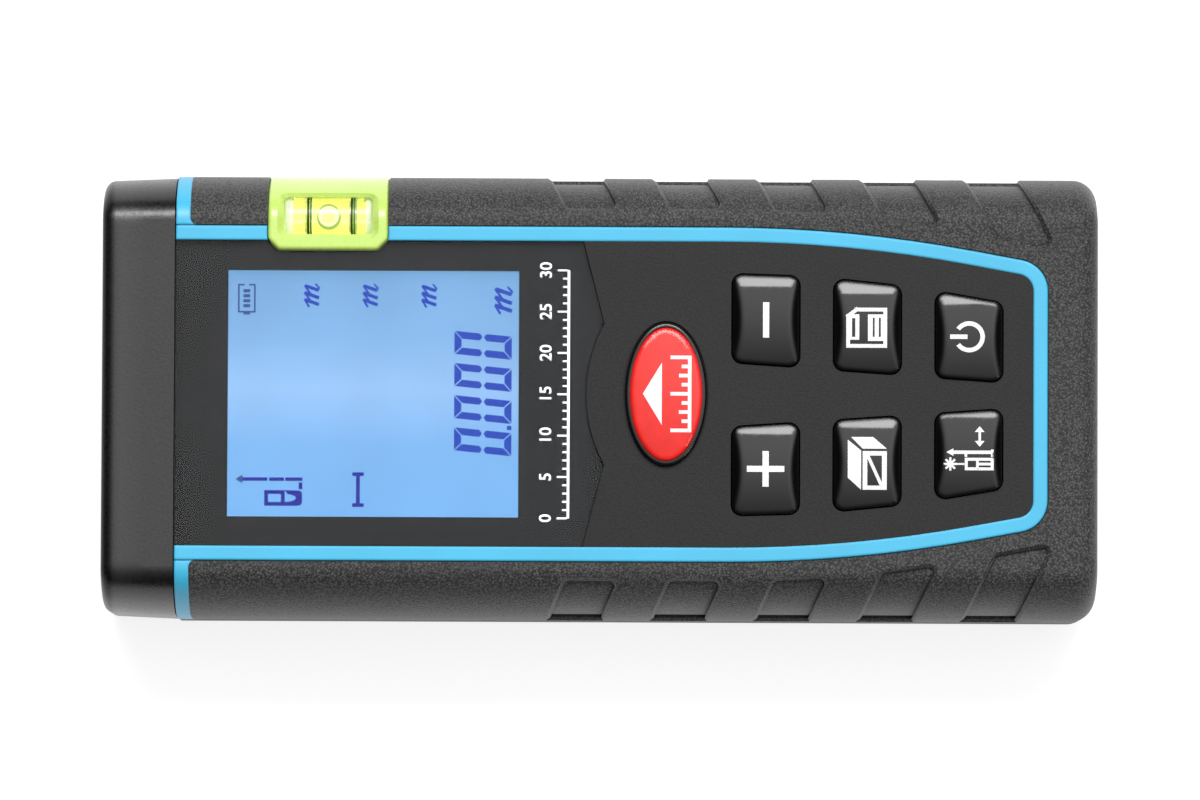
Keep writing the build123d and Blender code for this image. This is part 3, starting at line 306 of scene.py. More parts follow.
def metal(name, colour, rough, grain=0.4, depth=0.01, stretch=(1, 1, 1)):
    """Worked metal with fine marks, packed closer along the axes that are stretched."""
    s = Shade(name, Metallic=1.0)
    scaled = s.add("ShaderNodeMapping", {"vector_type": "POINT"}, Vector=s.place, Scale=stretch)
    marks = s.noise(grain, 3.0, place=scaled.outputs["Vector"])
    broad = s.noise(6.0, 2.0)
    s.set(s.shader, {"Base Color": s.mix(s.to(broad, 0.0, 1.0), shaded(colour, -0.18), colour),
                     "Roughness": s.to(marks, rough - 0.08, rough + 0.1),
                     "Normal": s.bump(marks, depth, 0.4)})
    return s.mat


# ---- Window, display and prints ---------------------------------------------
def window_plastic():
    """Clear window whose side walls are black, a painted shade that darkens the gap round it."""
    s = Shade("window_clear", IOR=1.18)
    normal = s.add("ShaderNodeTexCoord").outputs["Normal"]
    facing = s.math("ABSOLUTE", s.axis("Z", normal))
    open_share = s.to(facing, 0.0, 1.0, 0.2, 0.7)
    marks = s.noise(4.0, 4.0)
    # Painted shade: the side walls turn near-black and opaque, darkening the gap round the window.
    s.set(s.shader, {"Base Color": s.mix(open_share, grey(4), (0.98, 0.99, 1.0, 1)),
                     "Transmission Weight": open_share, "Roughness": s.to(marks, 0.015, 0.035)})
    s.lamps_pass()
    return s.mat


def window_border():
    """Gloss black ink behind the window, made a little paler towards the cap by a painted reflection."""
    s = Shade("window_ink", Specular_IOR_Level=0.1)
    along = s.share_along("Y", mask_low.y, mask_high.y)
    film = s.noise(0.5, 3.0)
    # The paler end towards the cap is a painted reflection.
    s.set(s.shader, {"Base Color": s.ramp(along, (0.0, linear(10, 11, 13)), (1.0, linear(14, 14, 15))),
                     "Roughness": s.to(film, 0.35, 0.5)})
    return s.mat


def lcd_glass():
    """Backlit display: palest across its middle, bluer towards its sides, dimmer by the level."""
    s = Shade("lcd_lit", Roughness=0.25, Base_Color=linear(14, 22, 34), Specular_IOR_Level=0.15)
    across = s.share_along("X", -lcd_high.x, lcd_high.x)
    glow = s.ramp(across, (0.0, linear(124, 190, 252)), (0.3, linear(128, 188, 246)),
                  (0.52, linear(156, 202, 253)), (0.72, linear(134, 186, 238)), (1.0, linear(122, 174, 224)))
    cloud = s.to(s.noise(14.0, 2.0), 0.86, 0.97)
    edge = s.ramp(across, (0.0, level(0.0)), (0.93, level(0.0)), (1.0, level(0.4)))
    s.set(s.shader, {"Emission Color": s.mix(edge, glow, linear(96, 158, 196)), "Emission Strength": cloud})
    return s.mat


def ink(name, colour):
    """A thin print with a slightly uneven film."""
    s = Shade(name)
    film = s.noise(0.35, 3.0)
    s.set(s.shader, {"Base Color": s.mix(s.to(film, 0.0, 1.0), shaded(colour, -0.1), colour),
                     "Roughness": s.to(film, 0.37, 0.53)})
    return s.mat


def segment(name, colour):
    """A dark liquid crystal segment, lit from behind by the display's own light."""
    s = Shade(name, Base_Color=(0.004, 0.006, 0.02, 1), Specular_IOR_Level=0.1, Emission_Strength=1.0)
    film = s.noise(0.5, 3.0)
    s.set(s.shader, {"Emission Color": s.mix(s.to(film, 0.0, 1.0), shaded(colour, -0.14), colour),
                     "Roughness": s.to(film, 0.3, 0.45)})
    return s.mat


# ---- Level ------------------------------------------------------------------
def vial_tube():
    """Clear tube whose solid ends look milky and carry a painted glow."""
    s = Shade("vial_clear", IOR=1.04, Coat_Weight=0.8, Coat_Roughness=0.28, Emission_Color=(1, 1, 0.94, 1))
    low, high = spans("level_vial")
    along = s.share_along("Y", low.y, high.y)
    body, ends, tips = level(1.0), level(0.4), level(0.7)
    core = s.ramp(along, (0.0, tips), (0.02, ends), (0.06, ends), (0.08, body), (0.9, body), (0.925, ends),
                  (0.95, tips), (0.97, ends), (1.0, tips))
    milk = s.to(core, 1.0, 0.0, 0.5, 0.9)
    marks = s.noise(2.0, 3.0)
    tint = s.mix(s.to(marks, 0.0, 1.0), (0.97, 0.99, 0.94, 1), (1, 1, 0.98, 1))
    # The emission is painted light: a faint white glow in the milky ends.
    s.set(s.shader, {"Base Color": s.mix(milk, tint, (0.72, 0.76, 0.62, 1)),
                     "Transmission Weight": core, "Roughness": s.to(marks, 0.01, 0.03),
                     "Emission Strength": s.to(s.math("SUBTRACT", 1.0, core), 0.0, 0.1, 0.0, 0.5)})
    s.lamps_pass()
    return s.mat


def vial_liquid():
    """Fluorescent yellow liquid with a painted glow that brightens it."""
    # The emission is painted light that brightens the liquid.
    s = Shade("vial_liquid", Base_Color=(1.0, 0.95, 0.4, 1), Transmission_Weight=0.94, IOR=1.04,
              Roughness=0.02, Emission_Strength=0.3)
    cloud = s.to(s.noise(2.5, 2.0), 0.0, 1.0)
    s.set(s.shader, {"Emission Color": s.mix(cloud, linear(244, 238, 120), linear(252, 248, 160))})
    s.lamps_pass()
    return s.mat


def bubble_shine():
    """Air bubble drawn in painted light: a glowing middle, with a painted white and green ring round its rim.
    """
    s = Shade("bubble_shine", Base_Color=(0, 0, 0, 1), Specular_IOR_Level=0.0, Emission_Strength=1.0)
    low, high = spans("level_bubble")
    centred = s.add("ShaderNodeMapping", {"vector_type": "POINT"}, Vector=s.place,
                    Location=middle("level_bubble") * -MM)
    in_plan = s.add("ShaderNodeVectorMath", {"operation": "MULTIPLY"}, _0=centred.outputs[0], _1=(1, 1, 0))
    away = s.add("ShaderNodeVectorMath", {"operation": "LENGTH"}, _0=in_plan.outputs[0])
    share = s.to(away.outputs["Value"], 0.0, 1.0, 0.0, (high.x - low.x) / 2 * MM)
    # Painted light: glowing rings stand in for how the bubble's rim bends the light.
    rings = s.ramp(share, (0.0, linear(254, 252, 226)), (0.24, linear(226, 232, 150)),
                   (0.5, linear(250, 248, 190)), (0.66, linear(255, 255, 250)), (0.74, linear(255, 255, 240)),
                   (0.81, linear(40, 150, 44)), (0.95, linear(8, 116, 36)), (1.0, linear(120, 190, 30)))
    film = s.noise(0.8, 2.0)
    s.set(s.shader, {"Emission Color": rings, "Roughness": s.to(film, 0.3, 0.5)})
    return s.mat


# ---- Inner parts ------------------------------------------------------------
def optic_glass(name, colour):
    """Ground glass with faint polish marks."""
    s = Shade(name, Base_Color=colour, Transmission_Weight=1.0, IOR=1.52)
    marks = s.noise(4.0, 4.0)
    s.set(s.shader, {"Roughness": s.to(marks, 0.01, 0.03)})
    s.lamps_pass()
    return s.mat


def board_green():
    """Green circuit board with a fine grid of paler tracks."""
    s = Shade("board_green", Coat_Weight=0.5)
    lines = s.add("ShaderNodeTexBrick", Vector=s.place, Scale=400.0, Mortar_Size=0.06,
                  Color1=linear(16, 92, 52), Color2=linear(20, 104, 60), Mortar=linear(44, 140, 82))
    fine = s.noise(0.4, 3.0)
    s.set(s.shader, {"Base Color": lines.outputs["Color"], "Roughness": s.to(fine, 0.35, 0.5)})
    return s.mat


def cell_wrap():
    """Dry cell: a dark sleeve with a copper band at its rear end."""
    s = Shade("cell_sleeve", Coat_Weight=0.6, Coat_Roughness=0.1)
    low, high = spans("left_cell")
    along = s.share_along("Y", low.y, high.y)
    copper = linear(176, 120, 62)
    body = s.ramp(along, (0.0, copper), (0.16, copper),
                  (0.17, linear(28, 30, 34)), (0.99, linear(40, 42, 46)))
    film = s.noise(0.8, 3.0)
    s.set(s.shader, {"Base Color": body, "Roughness": s.to(film, 0.25, 0.4),
                     "Metallic": s.to(film, 0.2, 0.35)})
    return s.mat


# ---- Finish of each CAD node ------------------------------------------------
# shell_black has painted shade darkening its narrow corners.
shell_black = moulded("shell_black", grey(21), rough=0.5, grain=0.26, depth=0.035, strength=0.6, speckle=0.9,
                      corner_shade=0.5, Specular_IOR_Level=0.26)
rear_black = moulded("rear_black", grey(34), rough=0.52, grain=0.25, depth=0.04)
skirt_black = moulded("skirt_black", grey(8), rough=0.22, grain=0.9, depth=0.004, strength=0.15, spread=0.02,
                      vary=0.2)
stripe_blue = moulded("stripe_blue", linear(60, 168, 205), rough=0.4, grain=0.3, depth=0.012, strength=0.35,
                      spread=0.05, vary=0.04, soft=0.4)
silicone = moulded("silicone_grey", linear(150, 152, 154), rough=0.6, grain=0.5, depth=0.02, strength=0.4)
chip = moulded("chip_black", linear(26, 26, 28), rough=0.45, grain=0.3, depth=0.01, strength=0.3)
bezel = moulded("bezel_white", linear(214, 216, 214), rough=0.5, grain=0.4, depth=0.01, strength=0.3)
ribbon = moulded("ribbon_amber", linear(196, 120, 34), rough=0.35, grain=0.6, depth=0.01, strength=0.3)
ring_green = moulded("ring_green", linear(150, 190, 40), rough=0.4, grain=0.3, depth=0.005, strength=0.2)
gloss_black = key_gloss("key_gloss_black", grey(9), Specular_IOR_Level=0.5)
gloss_red = key_gloss("key_gloss_red", linear(216, 34, 28), rough=0.07)
steel = metal("steel_zinc", (0.62, 0.62, 0.6, 1), rough=0.32)
spring_steel = metal("spring_steel", (0.7, 0.7, 0.68, 1), rough=0.22, stretch=(1, 1, 8))
brass = metal("barrel_brass", (0.8, 0.58, 0.26, 1), rough=0.3, stretch=(1, 6, 1))
casting = metal("carrier_cast", (0.42, 0.42, 0.43, 1), rough=0.5, grain=0.7, depth=0.03)
red_glass = optic_glass("glass_tint", (0.75, 0.3, 0.32, 1))
clear_glass = optic_glass("lens_clear", (0.97, 1.0, 0.98, 1))
board = board_green()
sleeve = cell_wrap()

FINISH = {
    "front_shell": shell_black, "rear_shell": rear_black, "battery_door": rear_black,
    "grip_jacket": rubber_jacket(), "stripe_trim": stripe_blue, "end_cap": cap_plastic(),
    "display_window": window_plastic(), "window_mask": window_border(), "lcd_panel": lcd_glass(),
    "lcd_backlight": bezel, "lcd_bezel": bezel, "contact_strip": silicone,
    "measure_button": gloss_red, "measure_skirt": skirt_black, "keypad_mat": silicone,
    "minus_key": gloss_black, "plus_key": gloss_black, "memory_key": gloss_black,
    "volume_key": gloss_black, "clear_key": gloss_black, "reference_key": gloss_black,
    "level_frame": lime_plastic(), "level_vial": vial_tube(), "level_rings": ring_green,
    "level_bubble": bubble_shine(), "snap_domes": spring_steel, "main_board": board,
    "board_chips": chip, "buzzer": chip, "board_screws": steel, "housing_screws": steel,
    "carrier_screws": steel, "left_cell": sleeve, "right_cell": sleeve,
    "bridge_contact": spring_steel, "negative_contact": spring_steel, "positive_contact": spring_steel,
    "optics_carrier": casting, "receiver_lens": clear_glass, "lens_retainer": chip,
    "laser_barrel": brass, "collimator_lens": clear_glass, "laser_diode": brass,
    "detector_board": board, "detector_can": steel, "detector_ribbon": ribbon,
    "ribbon_sockets": bezel, "receiver_glass": red_glass, "emitter_glass": red_glass,
}
for node, finish in FINISH.items():
    slots = NODES[node].data.materials
    slots.clear()
    slots.append(finish)


# ---- Making pieces ----------------------------------------------------------
def placed(name, data):
    """A new object in the scene."""
    made = bpy.data.objects.new(name, data)
    bpy.context.scene.collection.objects.link(made)
    return made


def add_piece(name, mesh, body, finish):
    """Turn an edit mesh into a piece that rides on a body."""
    bmesh.ops.recalc_face_normals(mesh, faces=mesh.faces)
    data = bpy.data.meshes.new(name)
    mesh.to_mesh(data)
    mesh.free()
    data.materials.append(finish)
    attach(placed(name, data), body)


def flat(outlines, z=0.0, lift=0.0003):
    """Faces for closed outlines, lists of plan points in millimetres, each just above the last."""
    mesh = bmesh.new()
    for i, points in enumerate(outlines):
        mesh.faces.new([mesh.verts.new((x * MM, y * MM, (z + i * lift) * MM)) for x, y in points])
    return mesh


def thicken(mesh, thick):
    """Give flat faces a thickness upwards."""
    made = bmesh.ops.extrude_face_region(mesh, geom=mesh.faces[:])
    tops = [part for part in made["geom"] if isinstance(part, bmesh.types.BMVert)]
    bmesh.ops.translate(mesh, verts=tops, vec=(0, 0, thick * MM))


def slab(name, outlines, z, finish):
    """Flat shapes given the thickness of a print, on the root body."""
    mesh = flat(outlines, z)
    thicken(mesh, print_thick)
    add_piece(name, mesh, "root", finish)


def drape(name, outlines, node, body, finish):
    """Flat shapes laid as a thin film over the crowned top of a CAD node."""
    cut, sunk, proud = 0.3, 0.02, 0.005
    mesh = flat(outlines)
    bmesh.ops.triangulate(mesh, faces=mesh.faces)
    low, high = spans(node)
    for across in (Vector((1, 0, 0)), Vector((0, 1, 0))):
        reach = (high - low).dot(across)
        for i in range(1, int(reach / cut)):
            parts = mesh.verts[:] + mesh.edges[:] + mesh.faces[:]
            place = (low + across * cut * i) * MM
            bmesh.ops.bisect_plane(mesh, geom=parts, plane_co=place, plane_no=across)
    top = NODES[node].data
    tree = BVHTree.FromPolygons([v.co for v in top.vertices], [p.vertices for p in top.polygons])
    for vert in mesh.verts:
        above = Vector((vert.co.x, vert.co.y, (high.z + 1) * MM))
        vert.co.z += tree.ray_cast(above, Vector((0, 0, -1)))[0].z - sunk * MM
    thicken(mesh, sunk + proud)
    add_piece(name, mesh, body, finish)


def figures(name, labels, height, z, finish):
    """Plain numbers as thin flat geometry on the root body, each centred on its place."""
    figure_share, weight = 0.7, 0.015      # a figure's height and added boldness, in font sizes
    mesh = bmesh.new()
    for text, x, y in labels:
        curve = bpy.data.curves.new(name, "FONT")
        curve.body = text
        curve.align_x = "CENTER"
        curve.size = height * MM / figure_share
        curve.offset = weight * curve.size
        maker = placed(name + ".maker", curve)
        bpy.context.view_layer.update()
        data = bpy.data.meshes.new_from_object(maker)
        bpy.data.objects.remove(maker)
        data.transform(Matrix.Translation((x * MM, y * MM, z * MM)))
        mesh.from_mesh(data)
        bpy.data.meshes.remove(data)
    thicken(mesh, print_thick)
    add_piece(name, mesh, "root", finish)


# ---- Outlines, lists of plan points in millimetres --------------------------
def bar(x0, y0, x1, y1):
    """A rectangle between two corners."""
    return [(x0, y0), (x1, y0), (x1, y1), (x0, y1)]


def moved(outlines, x, y, scale=1.0):
    """Outlines drawn about the origin, scaled and moved to a place."""
    return [[(x + px * scale, y + py * scale) for px, py in points] for points in outlines]


def stroke(points, width, closed=False, caps=0.5):
    """A line of one width along a run of points. Each leg runs past its ends by caps widths."""
    out = []
    count = len(points)
    for i in range(count if closed else count - 1):
        a, b = Vector(points[i]), Vector(points[(i + 1) % count])
        along = (b - a).normalized()
        side = Vector((-along.y, along.x)) * width / 2
        reach = along * width * caps
        start, end = a - reach, b + reach
        out.append([tuple(start - side), tuple(end - side), tuple(end + side), tuple(start + side)])
    return out


def arc(x, y, radius, start, end, count=16):
    """Points along an arc, its angles in degrees from +X."""
    turns = [radians(start + (end - start) * i / count) for i in range(count + 1)]
    return [(x + radius * cos(t), y + radius * sin(t)) for t in turns]


def band(outer, inner):
    """The strip between two runs of as many points."""
    return [[outer[i], outer[i + 1], inner[i + 1], inner[i]] for i in range(len(outer) - 1)]


# ---- Liquid and lines of the level's vial -----------------------------------
def liquid():
    """The vial's filling, a round rod as wide as the tube's wall makes it look."""
    wall, end_wall, lap, sides = 0.05, 0.7, 0.02, 48
    rim_round, rim_steps = 0.35, 4
    low, high = spans("level_vial")
    radius = (high.z - low.z) / 2 - wall
    reach = (high.y - low.y) / 2 - end_wall + lap
    mesh = bmesh.new()
    bmesh.ops.create_cone(mesh, cap_ends=True, segments=sides, radius1=radius * MM, radius2=radius * MM,
                          depth=2 * reach * MM)
    ends = [face for face in mesh.faces if len(face.verts) > 4]
    lay_down = Matrix.Translation(middle("level_vial") * MM) @ Matrix.Rotation(pi / 2, 4, "X")
    bmesh.ops.transform(mesh, matrix=lay_down, verts=mesh.verts)
    rim = [edge for face in ends for edge in face.edges]
    bmesh.ops.bevel(mesh, geom=rim, offset=rim_round * MM, segments=rim_steps, affect="EDGES")
    for face in mesh.faces:
        face.smooth = True
    add_piece("level_liquid", mesh, "root", vial_liquid())


def hoop(mesh, centre, y, width, inner, outer, sides=64):
    """A ring of square section round an axis along Y, its radii inner and outer."""
    rims = []
    for radius in (inner, outer):
        for end in (y - width / 2, y + width / 2):
            points = arc(centre.x, centre.z, radius, 0, 360, sides)[:-1]
            rims.append([mesh.verts.new((x * MM, end * MM, z * MM)) for x, z in points])
    inner_a, inner_b, outer_a, outer_b = rims
    for one, other in ((outer_a, outer_b), (inner_b, inner_a), (inner_a, outer_a), (outer_b, inner_b)):
        for i in range(sides):
            j = (i + 1) % sides
            mesh.faces.new((one[i], one[j], other[j], other[i]))


def vial_lines():
    """A black and a green line round the vial, just behind each of its two rings."""
    half_ring, sunk, proud = 0.175, 0.1, 0.02
    low, high = spans("level_vial")
    rings_low, rings_high = spans("level_rings")
    radius = (high.z - low.z) / 2
    lines = {"black": (-0.17, 0.25, linear(16, 22, 10)), "green": (-0.46, 0.19, linear(18, 112, 40))}
    for name, (shift, width, colour) in lines.items():
        mesh = bmesh.new()
        for ring in (rings_low.y + half_ring, rings_high.y - half_ring):
            hoop(mesh, middle("level_vial"), ring + shift, width, radius - sunk, radius + proud)
        add_piece(f"vial_lines_{name}", mesh, "root", ink(f"vial_{name}", colour))


liquid()
vial_lines()

# ---- Ruler print behind the window ------------------------------------------
white_ink = ink("white_ink", grey(226))


def ruler():
    """White scale beside the window's rear edge, with plain numbers over its long ticks."""
    count, group = 30, 5
    line, tick, long_tick, short_tick = 0.28, 0.2, 1.25, 0.65
    base = mask_low.y + 3.95
    half = lcd_high.x - 0.47    # its ends lie just inside the display glass
    number_foot, number_height = base + 1.95, 1.3
    places = [-half + 2 * half * i / count for i in range(count + 1)]
    shapes = [bar(-half, base - line / 2, half, base + line / 2)]
    for i, x in enumerate(places):
        head = base + (short_tick if i % group else long_tick)
        shapes.append(bar(x - tick / 2, base + line / 2, x + tick / 2, head))
    slab("ruler_print", shapes, print_z, white_ink)
    labels = [(str(i), x, number_foot) for i, x in enumerate(places) if i % group == 0]
    figures("ruler_numbers", labels, number_height, print_z, white_ink)


ruler()


# ---- Display content, drawn from the middle of the display's rear edge ------
figure_blue = segment("digit_segment", linear(0, 62, 186))
faint_blue = segment("faint_segment", linear(48, 82, 144))
deep_blue = segment("icon_segment", linear(0, 14, 152))
line_foot = 2.2                 # foot of the main line's figures and unit


def show(name, outlines, finish):
    """Segments of the display as one piece."""
    slab(name, moved(outlines, 0, lcd_low.y), lcd_z, finish)


def zero(x, y, width, height, thick, slant):
    """Six lit segments of a figure nought, with mitred ends."""
    gap, tip = 0.08, 0.3
    half = height / 2
    shapes = [
        [(gap, 0), (width - gap, 0), (width - gap - thick, thick), (gap + thick, thick)],
        [(gap, height), (gap + thick, height - thick), (width - gap - thick, height - thick),
         (width - gap, height)],
        [(0, gap), (thick, gap + thick), (thick, half - gap - tip), (thick / 2, half - gap),
         (0, half - gap - tip)],
        [(0, height - gap), (0, half + gap + tip), (thick / 2, half + gap), (thick, half + gap + tip),
         (thick, height - gap - thick)],
    ]
    shapes += [[(width - px, py) for px, py in side][::-1] for side in shapes[2:4]]
    return [[(x + px + py * slant, y + py) for px, py in points] for points in shapes]


def reading():
    """The figures of the main line, all noughts, with the point after the first."""
    left, pitch, count = -6.95, 3.62, 4
    width, height, thick, slant = 2.6, 6.45, 0.8, 0.1
    dot_left, dot_right, dot_high = 0.68, 0.2, 0.5
    shapes = []
    for i in range(count):
        shapes += zero(left + pitch * i, line_foot, width, height, thick, slant)
    second = left + pitch
    shapes.append(bar(second - dot_left, line_foot, second - dot_right, line_foot + dot_high))
    return shapes


def metre_mark(x, y, size):
    """A slanted m drawn with three stems, two arches, a lead-in and a curled foot."""
    stem, arch, curl = 0.42, 0.26, 0.22
    stems = (((0.36, 0.12), (0.92, 1.72)), ((1.2, 0.12), (1.78, 1.72)), ((2.16, 0.22), (2.66, 1.66)))
    arches = (((0.72, 1.0), (1.72, 1.74)), ((1.56, 1.0), (2.62, 1.74)), ((0.12, 1.3), (0.86, 1.74)))
    shapes = []
    for points in stems:
        shapes += stroke(points, stem, caps=0.3)
    for points in arches:
        shapes += stroke(points, arch)
    shapes += stroke([(2.1, 0.14), (2.4, 0.0), (2.86, 0.4)], curl)
    return moved(shapes, x, y, size)


def battery_mark(x, y):
    """A battery with four bars, its far end open."""
    long, high, line, lip = 3.05, 1.8, 0.19, 0.55
    cell, pitch, count, half = 0.36, 0.56, 4, 0.38
    case = [(long, high - lip), (long, high), (0, high), (0, 0), (long, 0), (long, lip)]
    shapes = stroke(case, line)
    shapes.append(bar(-0.32, high / 2 - half, 0, high / 2 + half))
    for i in range(count):
        start = 0.5 + pitch * i
        shapes.append(bar(start, high / 2 - half, start + cell, high / 2 + half))
    return moved(shapes, x, y)


def device_mark():
    """Measuring mode: a small meter, and its measuring line in three dashes."""
    dashes = ((29.6, 32.45), (27.73, 29.4), (25.66, 27.59))
    shapes = [bar(-9.83, foot, -9.44, head) for foot, head in dashes]
    shapes.append(bar(-10.76, 25.66, -10.0, 26.07))
    left, right, foot, head, waist, wall = -12.63, -10.87, 25.68, 29.94, 27.85, 0.43
    shapes.append(bar(left, head - wall, right, head))
    shapes.append(bar(left, waist - wall / 2, right, waist + wall / 2))
    for x in (left, right - wall):
        shapes.append(bar(x, waist, x + wall, head))
    keypad_top = waist - wall / 2
    corner, scoop, steps = 0.5, 1.25, 12
    half = (right - left) / 2 - wall
    turns = [pi * i / steps for i in range(steps + 1)]
    inside = [((left + right) / 2 - half * cos(t), keypad_top - scoop * sin(t)) for t in turns]
    outside = [(left, keypad_top)] + arc(left + corner, foot + corner, corner, 180, 270, 5)
    outside += arc(right - corner, foot + corner, corner, 270, 360, 4)[:-1] + [(right, keypad_top)]
    return shapes + band(outside, inside)


def span_mark():
    """Single distance: a line between two end stops."""
    near, far, line, stop, y = -12.72, -8.83, 0.43, 0.41, 18.75
    high, foot = 1.3, y + 0.45
    ends = [bar(x, y, x + stop, y + high) for x in (far - stop, near)]
    return [bar(near, foot, far, foot + line)] + ends


def unit_marks():
    """The unit after the main line and after the three small lines above it."""
    small, large = 0.9, 1.05
    first, pitch, count = 23.9, 6.6, 3
    places = [(9.75, first - pitch * i, small) for i in range(count)] + [(9.05, line_foot, large)]
    for number, place in enumerate(places):
        show(f"display_unit_{number}", metre_mark(*place), figure_blue)


show("display_digits", reading(), figure_blue)
show("display_battery", battery_mark(9.2, 31.13), faint_blue)
show("display_arrow", [[(-9.64, 33.19), (-10.14, 32.4), (-9.14, 32.4)]], faint_blue)
show("display_mode", device_mark(), deep_blue)
show("display_span", span_mark(), deep_blue)
unit_marks()


# ---- Icons on the keys, each drawn about its own middle ---------------------
def minus_icon():
    """A short line."""
    half, line = 1.99, 0.7
    return [bar(-half, -line / 2, half, line / 2)]


def plus_icon():
    """A cross of three bars that meet edge to edge."""
    half, high, line, stem = 2.0, 2.1, 0.7, 0.68
    shapes = [bar(-half, -line / 2, half, line / 2)]
    shapes.append(bar(-stem / 2, line / 2, stem / 2, high))
    shapes.append(bar(-stem / 2, -high, stem / 2, -line / 2))
    return shapes


def card_icon():
    """A memory card with its corner cut, a framed label above and three lines below."""
    case = [(-2.03, -2.07), (-2.03, 2.09), (1.32, 2.09), (2.05, 1.16), (2.05, -2.07)]
    left, right = -1.48, 1.51
    shapes = stroke(case, 0.42, closed=True)
    shapes += [bar(-1.35, 1.66, right, 2.0), bar(-1.35, 0.84, right, 1.29)]
    shapes += [bar(-1.35, 1.2, -1.03, 1.7), bar(1.08, 1.2, right, 1.7)]
    shapes += [bar(left, foot, right, head) for foot, head in ((-0.67, -0.13), (-1.35, -0.88), (-2.0, -1.57))]
    shapes += [bar(1.14, -1.7, right, -0.4), bar(left, -1.7, -1.03, -0.4)]
    return shapes


def box_icon():
    """A solid box with one face left open and crossed by a diagonal."""
    left, right, foot, head = -2.97, 1.36, -2.19, 0.52
    side = [(2.95, 1.81), (2.95, -0.65), (1.64, foot), (1.64, head)]
    top = [(2.64, 2.19), (1.42, 0.69), (left, 0.69), (-1.63, 2.19)]
    shapes = [side, top, bar(left, 0.0, right, head), bar(left, foot, right, -1.64)]
    shapes += [bar(0.86, foot, right, head), bar(left, foot, -2.5, head)]
    return shapes + stroke([(0.86, -0.05), (-2.5, -1.6)], 0.36)


def power_icon():
    """An open ring with a bar in its gap."""
    outer, inner, start, end, steps = 1.75, 1.25, 125, 415, 36
    shapes = band(arc(0, 0, outer, start, end, steps), arc(0, 0, inner, start, end, steps))
    return shapes + [bar(-0.25, 0.2, 0.25, 2.15)]


def reference_icon():
    """A small meter with its measuring line, an arrow and a spark."""
    left, right, foot, head, wall = -1.95, -0.55, -2.77, 0.47, 0.33
    spark_x, spark_y, spark_reach, rays = -1.25, 2.09, 0.62, 4
    inset = wall / 2
    case = [(left + inset, foot + inset), (right - inset, foot + inset),
            (right - inset, head - inset), (left + inset, head - inset)]
    shapes = [bar(-0.12, foot, 0.26, 1.8), [(0.08, 2.55), (-0.35, 1.75), (0.5, 1.75)]]
    shapes += [bar(-0.45, 0.2, 0.0, 0.5), bar(-0.45, foot, 0.4, -2.47)]
    shapes += stroke(case, wall, closed=True)
    shapes += [bar(left, -1.1, right, -0.8), bar(-1.4, -2.45, -1.1, -1.1)]
    shapes.append(bar(-1.35, 0.5, -1.15, 1.5))
    for i in range(rays):
        turn = pi * i / rays
        tip = Vector((cos(turn), sin(turn))) * spark_reach
        ray = [(spark_x - tip.x, spark_y - tip.y), (spark_x + tip.x, spark_y + tip.y)]
        shapes += stroke(ray, 0.24)
    return shapes


def unit_icon():
    """A double arrow for the change of unit."""
    tip, neck, barb, shaft, line = 1.15, 0.5, 0.55, 0.6, 0.28
    shapes = [bar(-shaft, -line / 2, shaft, line / 2)]
    for side in (-1, 1):
        shapes.append([(side * tip, 0), (side * neck, barb), (side * neck, -barb)])
    return shapes


def measure_icon():
    """An arrowhead over a short scale."""
    count, reach, tick, foot = 8, 4.1, 0.4, -2.6
    long_tick, half_tick, short_tick = -0.5, -1.45, -1.75
    shapes = [[(0, 2.6), (-3.5, 0.47), (3.5, 0.47)], bar(-4.3, -2.85, 4.3, -2.45)]
    for i in range(count + 1):
        x = -reach + 2 * reach * i / count
        head = long_tick if i % 4 == 0 else half_tick if i % 2 == 0 else short_tick
        shapes.append(bar(x - tick / 2, foot, x + tick / 2, head))
    return shapes


def key_print(name, node, body, outlines):
    """An icon in the middle of a key's top."""
    centre = middle(node)
    drape(name, moved(outlines, centre.x, centre.y), node, body, white_ink)


KEY_ICONS = {
    "minus": minus_icon(), "plus": plus_icon(), "memory": moved(card_icon(), -0.15, 0.1),
    "volume": box_icon(), "clear": power_icon(),
    "reference": moved(reference_icon(), 0.1, 0.0) + moved(unit_icon(), 1.95, -1.2),
}
for key, outlines in KEY_ICONS.items():
    key_print(f"{key}_icon", f"{key}_key", f"{key}_key", outlines)
key_print("measure_icon", "measure_button", "measure_key", measure_icon())


# ---- Stage, lamps and camera, in metres -------------------------------------
def floor_white():
    """Matt white that glows, so that it shows as a lit backdrop and still takes shadows."""
    mat = bpy.data.materials.new("floor_white")
    mat.use_nodes = True
    tree = mat.node_tree
    tree.nodes.clear()
    out = tree.nodes.new("ShaderNodeOutputMaterial")
    diffuse = tree.nodes.new("ShaderNodeBsdfDiffuse")
    diffuse.inputs["Color"].default_value = level(0.3)
    glow = tree.nodes.new("ShaderNodeEmission")
    glow.inputs["Strength"].default_value = 0.8
    both = tree.nodes.new("ShaderNodeAddShader")
    tree.links.new(diffuse.outputs[0], both.inputs[0])
    tree.links.new(glow.outputs[0], both.inputs[1])
    tree.links.new(both.outputs[0], out.inputs["Surface"])
    return mat


def floor():
    """Wide table just below the object."""
    half, gap = 8.0, 0.0002
    z = cad_low.z - gap
    data = bpy.data.meshes.new("floor")
    data.from_pydata([(-half, -half, z), (half, -half, z), (half, half, z), (-half, half, z)], [],
                     [(0, 1, 2, 3)])
    data.materials.append(floor_white())
    placed("floor", data)


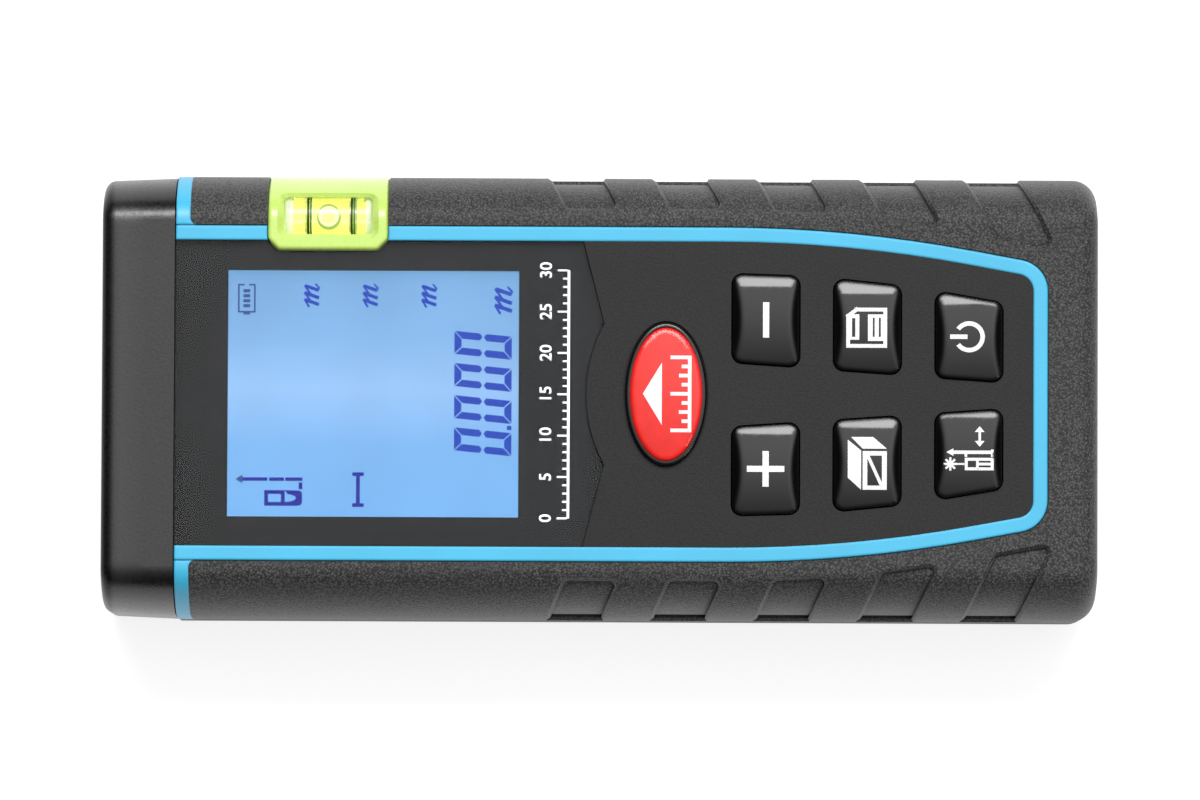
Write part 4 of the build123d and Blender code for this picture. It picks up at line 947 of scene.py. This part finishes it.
def sky():
    """Soft light that grows overhead and towards +X, and fades towards +Y."""
    world = bpy.data.worlds.new("studio")
    world.use_nodes = True
    tree = world.node_tree
    place = tree.nodes.new("ShaderNodeTexCoord")
    parts = tree.nodes.new("ShaderNodeSeparateXYZ")
    tree.links.new(place.outputs["Generated"], parts.inputs[0])
    ends = ("From Min", "From Max", "To Min", "To Max")
    fades = {"Z": (0.4, 1.0, 0.0, 1.0), "X": (-0.5, 0.5, 0.4, 2.65), "Y": (-0.6, 0.7, 1.55, 0.35)}
    strength = None
    for letter, values in fades.items():
        fade = tree.nodes.new("ShaderNodeMapRange")
        tree.links.new(parts.outputs[letter], fade.inputs["Value"])
        for end, value in zip(ends, values):
            fade.inputs[end].default_value = value
        if strength is None:
            strength = fade.outputs["Result"]
            continue
        product = tree.nodes.new("ShaderNodeMath")
        product.operation = "MULTIPLY"
        tree.links.new(strength, product.inputs[0])
        tree.links.new(fade.outputs["Result"], product.inputs[1])
        strength = product.outputs[0]
    background = tree.nodes["Background"]
    background.inputs["Color"].default_value = level(1.0)
    tree.links.new(strength, background.inputs["Strength"])
    bpy.context.scene.world = world


def softbox(name, place, wide, tall, power):
    """A plain area lamp facing the object's middle, its first side level.

    Its sides are in metres and its power in watts per square metre.
    """
    aim = Vector((0, 0, 0.012))
    data = bpy.data.lights.new(name, "AREA")
    data.shape = "RECTANGLE"
    data.size, data.size_y = wide, tall
    data.energy = power * wide * tall
    lamp = placed(name, data)
    lamp.location = place
    lamp.rotation_euler = (Vector(place) - aim).to_track_quat("Z", "Y").to_euler()


def camera():
    """Looks down on the face from a little to the left of the object's middle plane."""
    distance, tilt, roll, aside = 1.1, radians(3.0), radians(0.25), -0.67 * MM
    target = Vector((aside, 0, face_top * MM))
    back = Vector((-sin(tilt), 0, cos(tilt)))
    right = Vector((0, -1, 0))
    up = back.cross(right)
    data = bpy.data.cameras.new("camera")
    data.sensor_width = 36.0
    data.lens = 294.0
    data.clip_start, data.clip_end = 0.05, 30.0
    view = placed("camera", data)
    turned = Matrix((right, up, back)).transposed() @ Matrix.Rotation(roll, 3, "Z")
    view.matrix_world = Matrix.Translation(target + back * distance) @ turned.to_4x4()
    bpy.context.scene.camera = view


floor()
sky()
softbox("softbox_right", (0.755, 0, 1.14), 1.0, 0.475, 34.0)
softbox("softbox_rear", (-0.6, -0.85, 0.8), 0.25, 0.3, 20.0)
camera()

bpy.context.scene.view_settings.view_transform = "Standard"

bpy.context.view_layer.update()
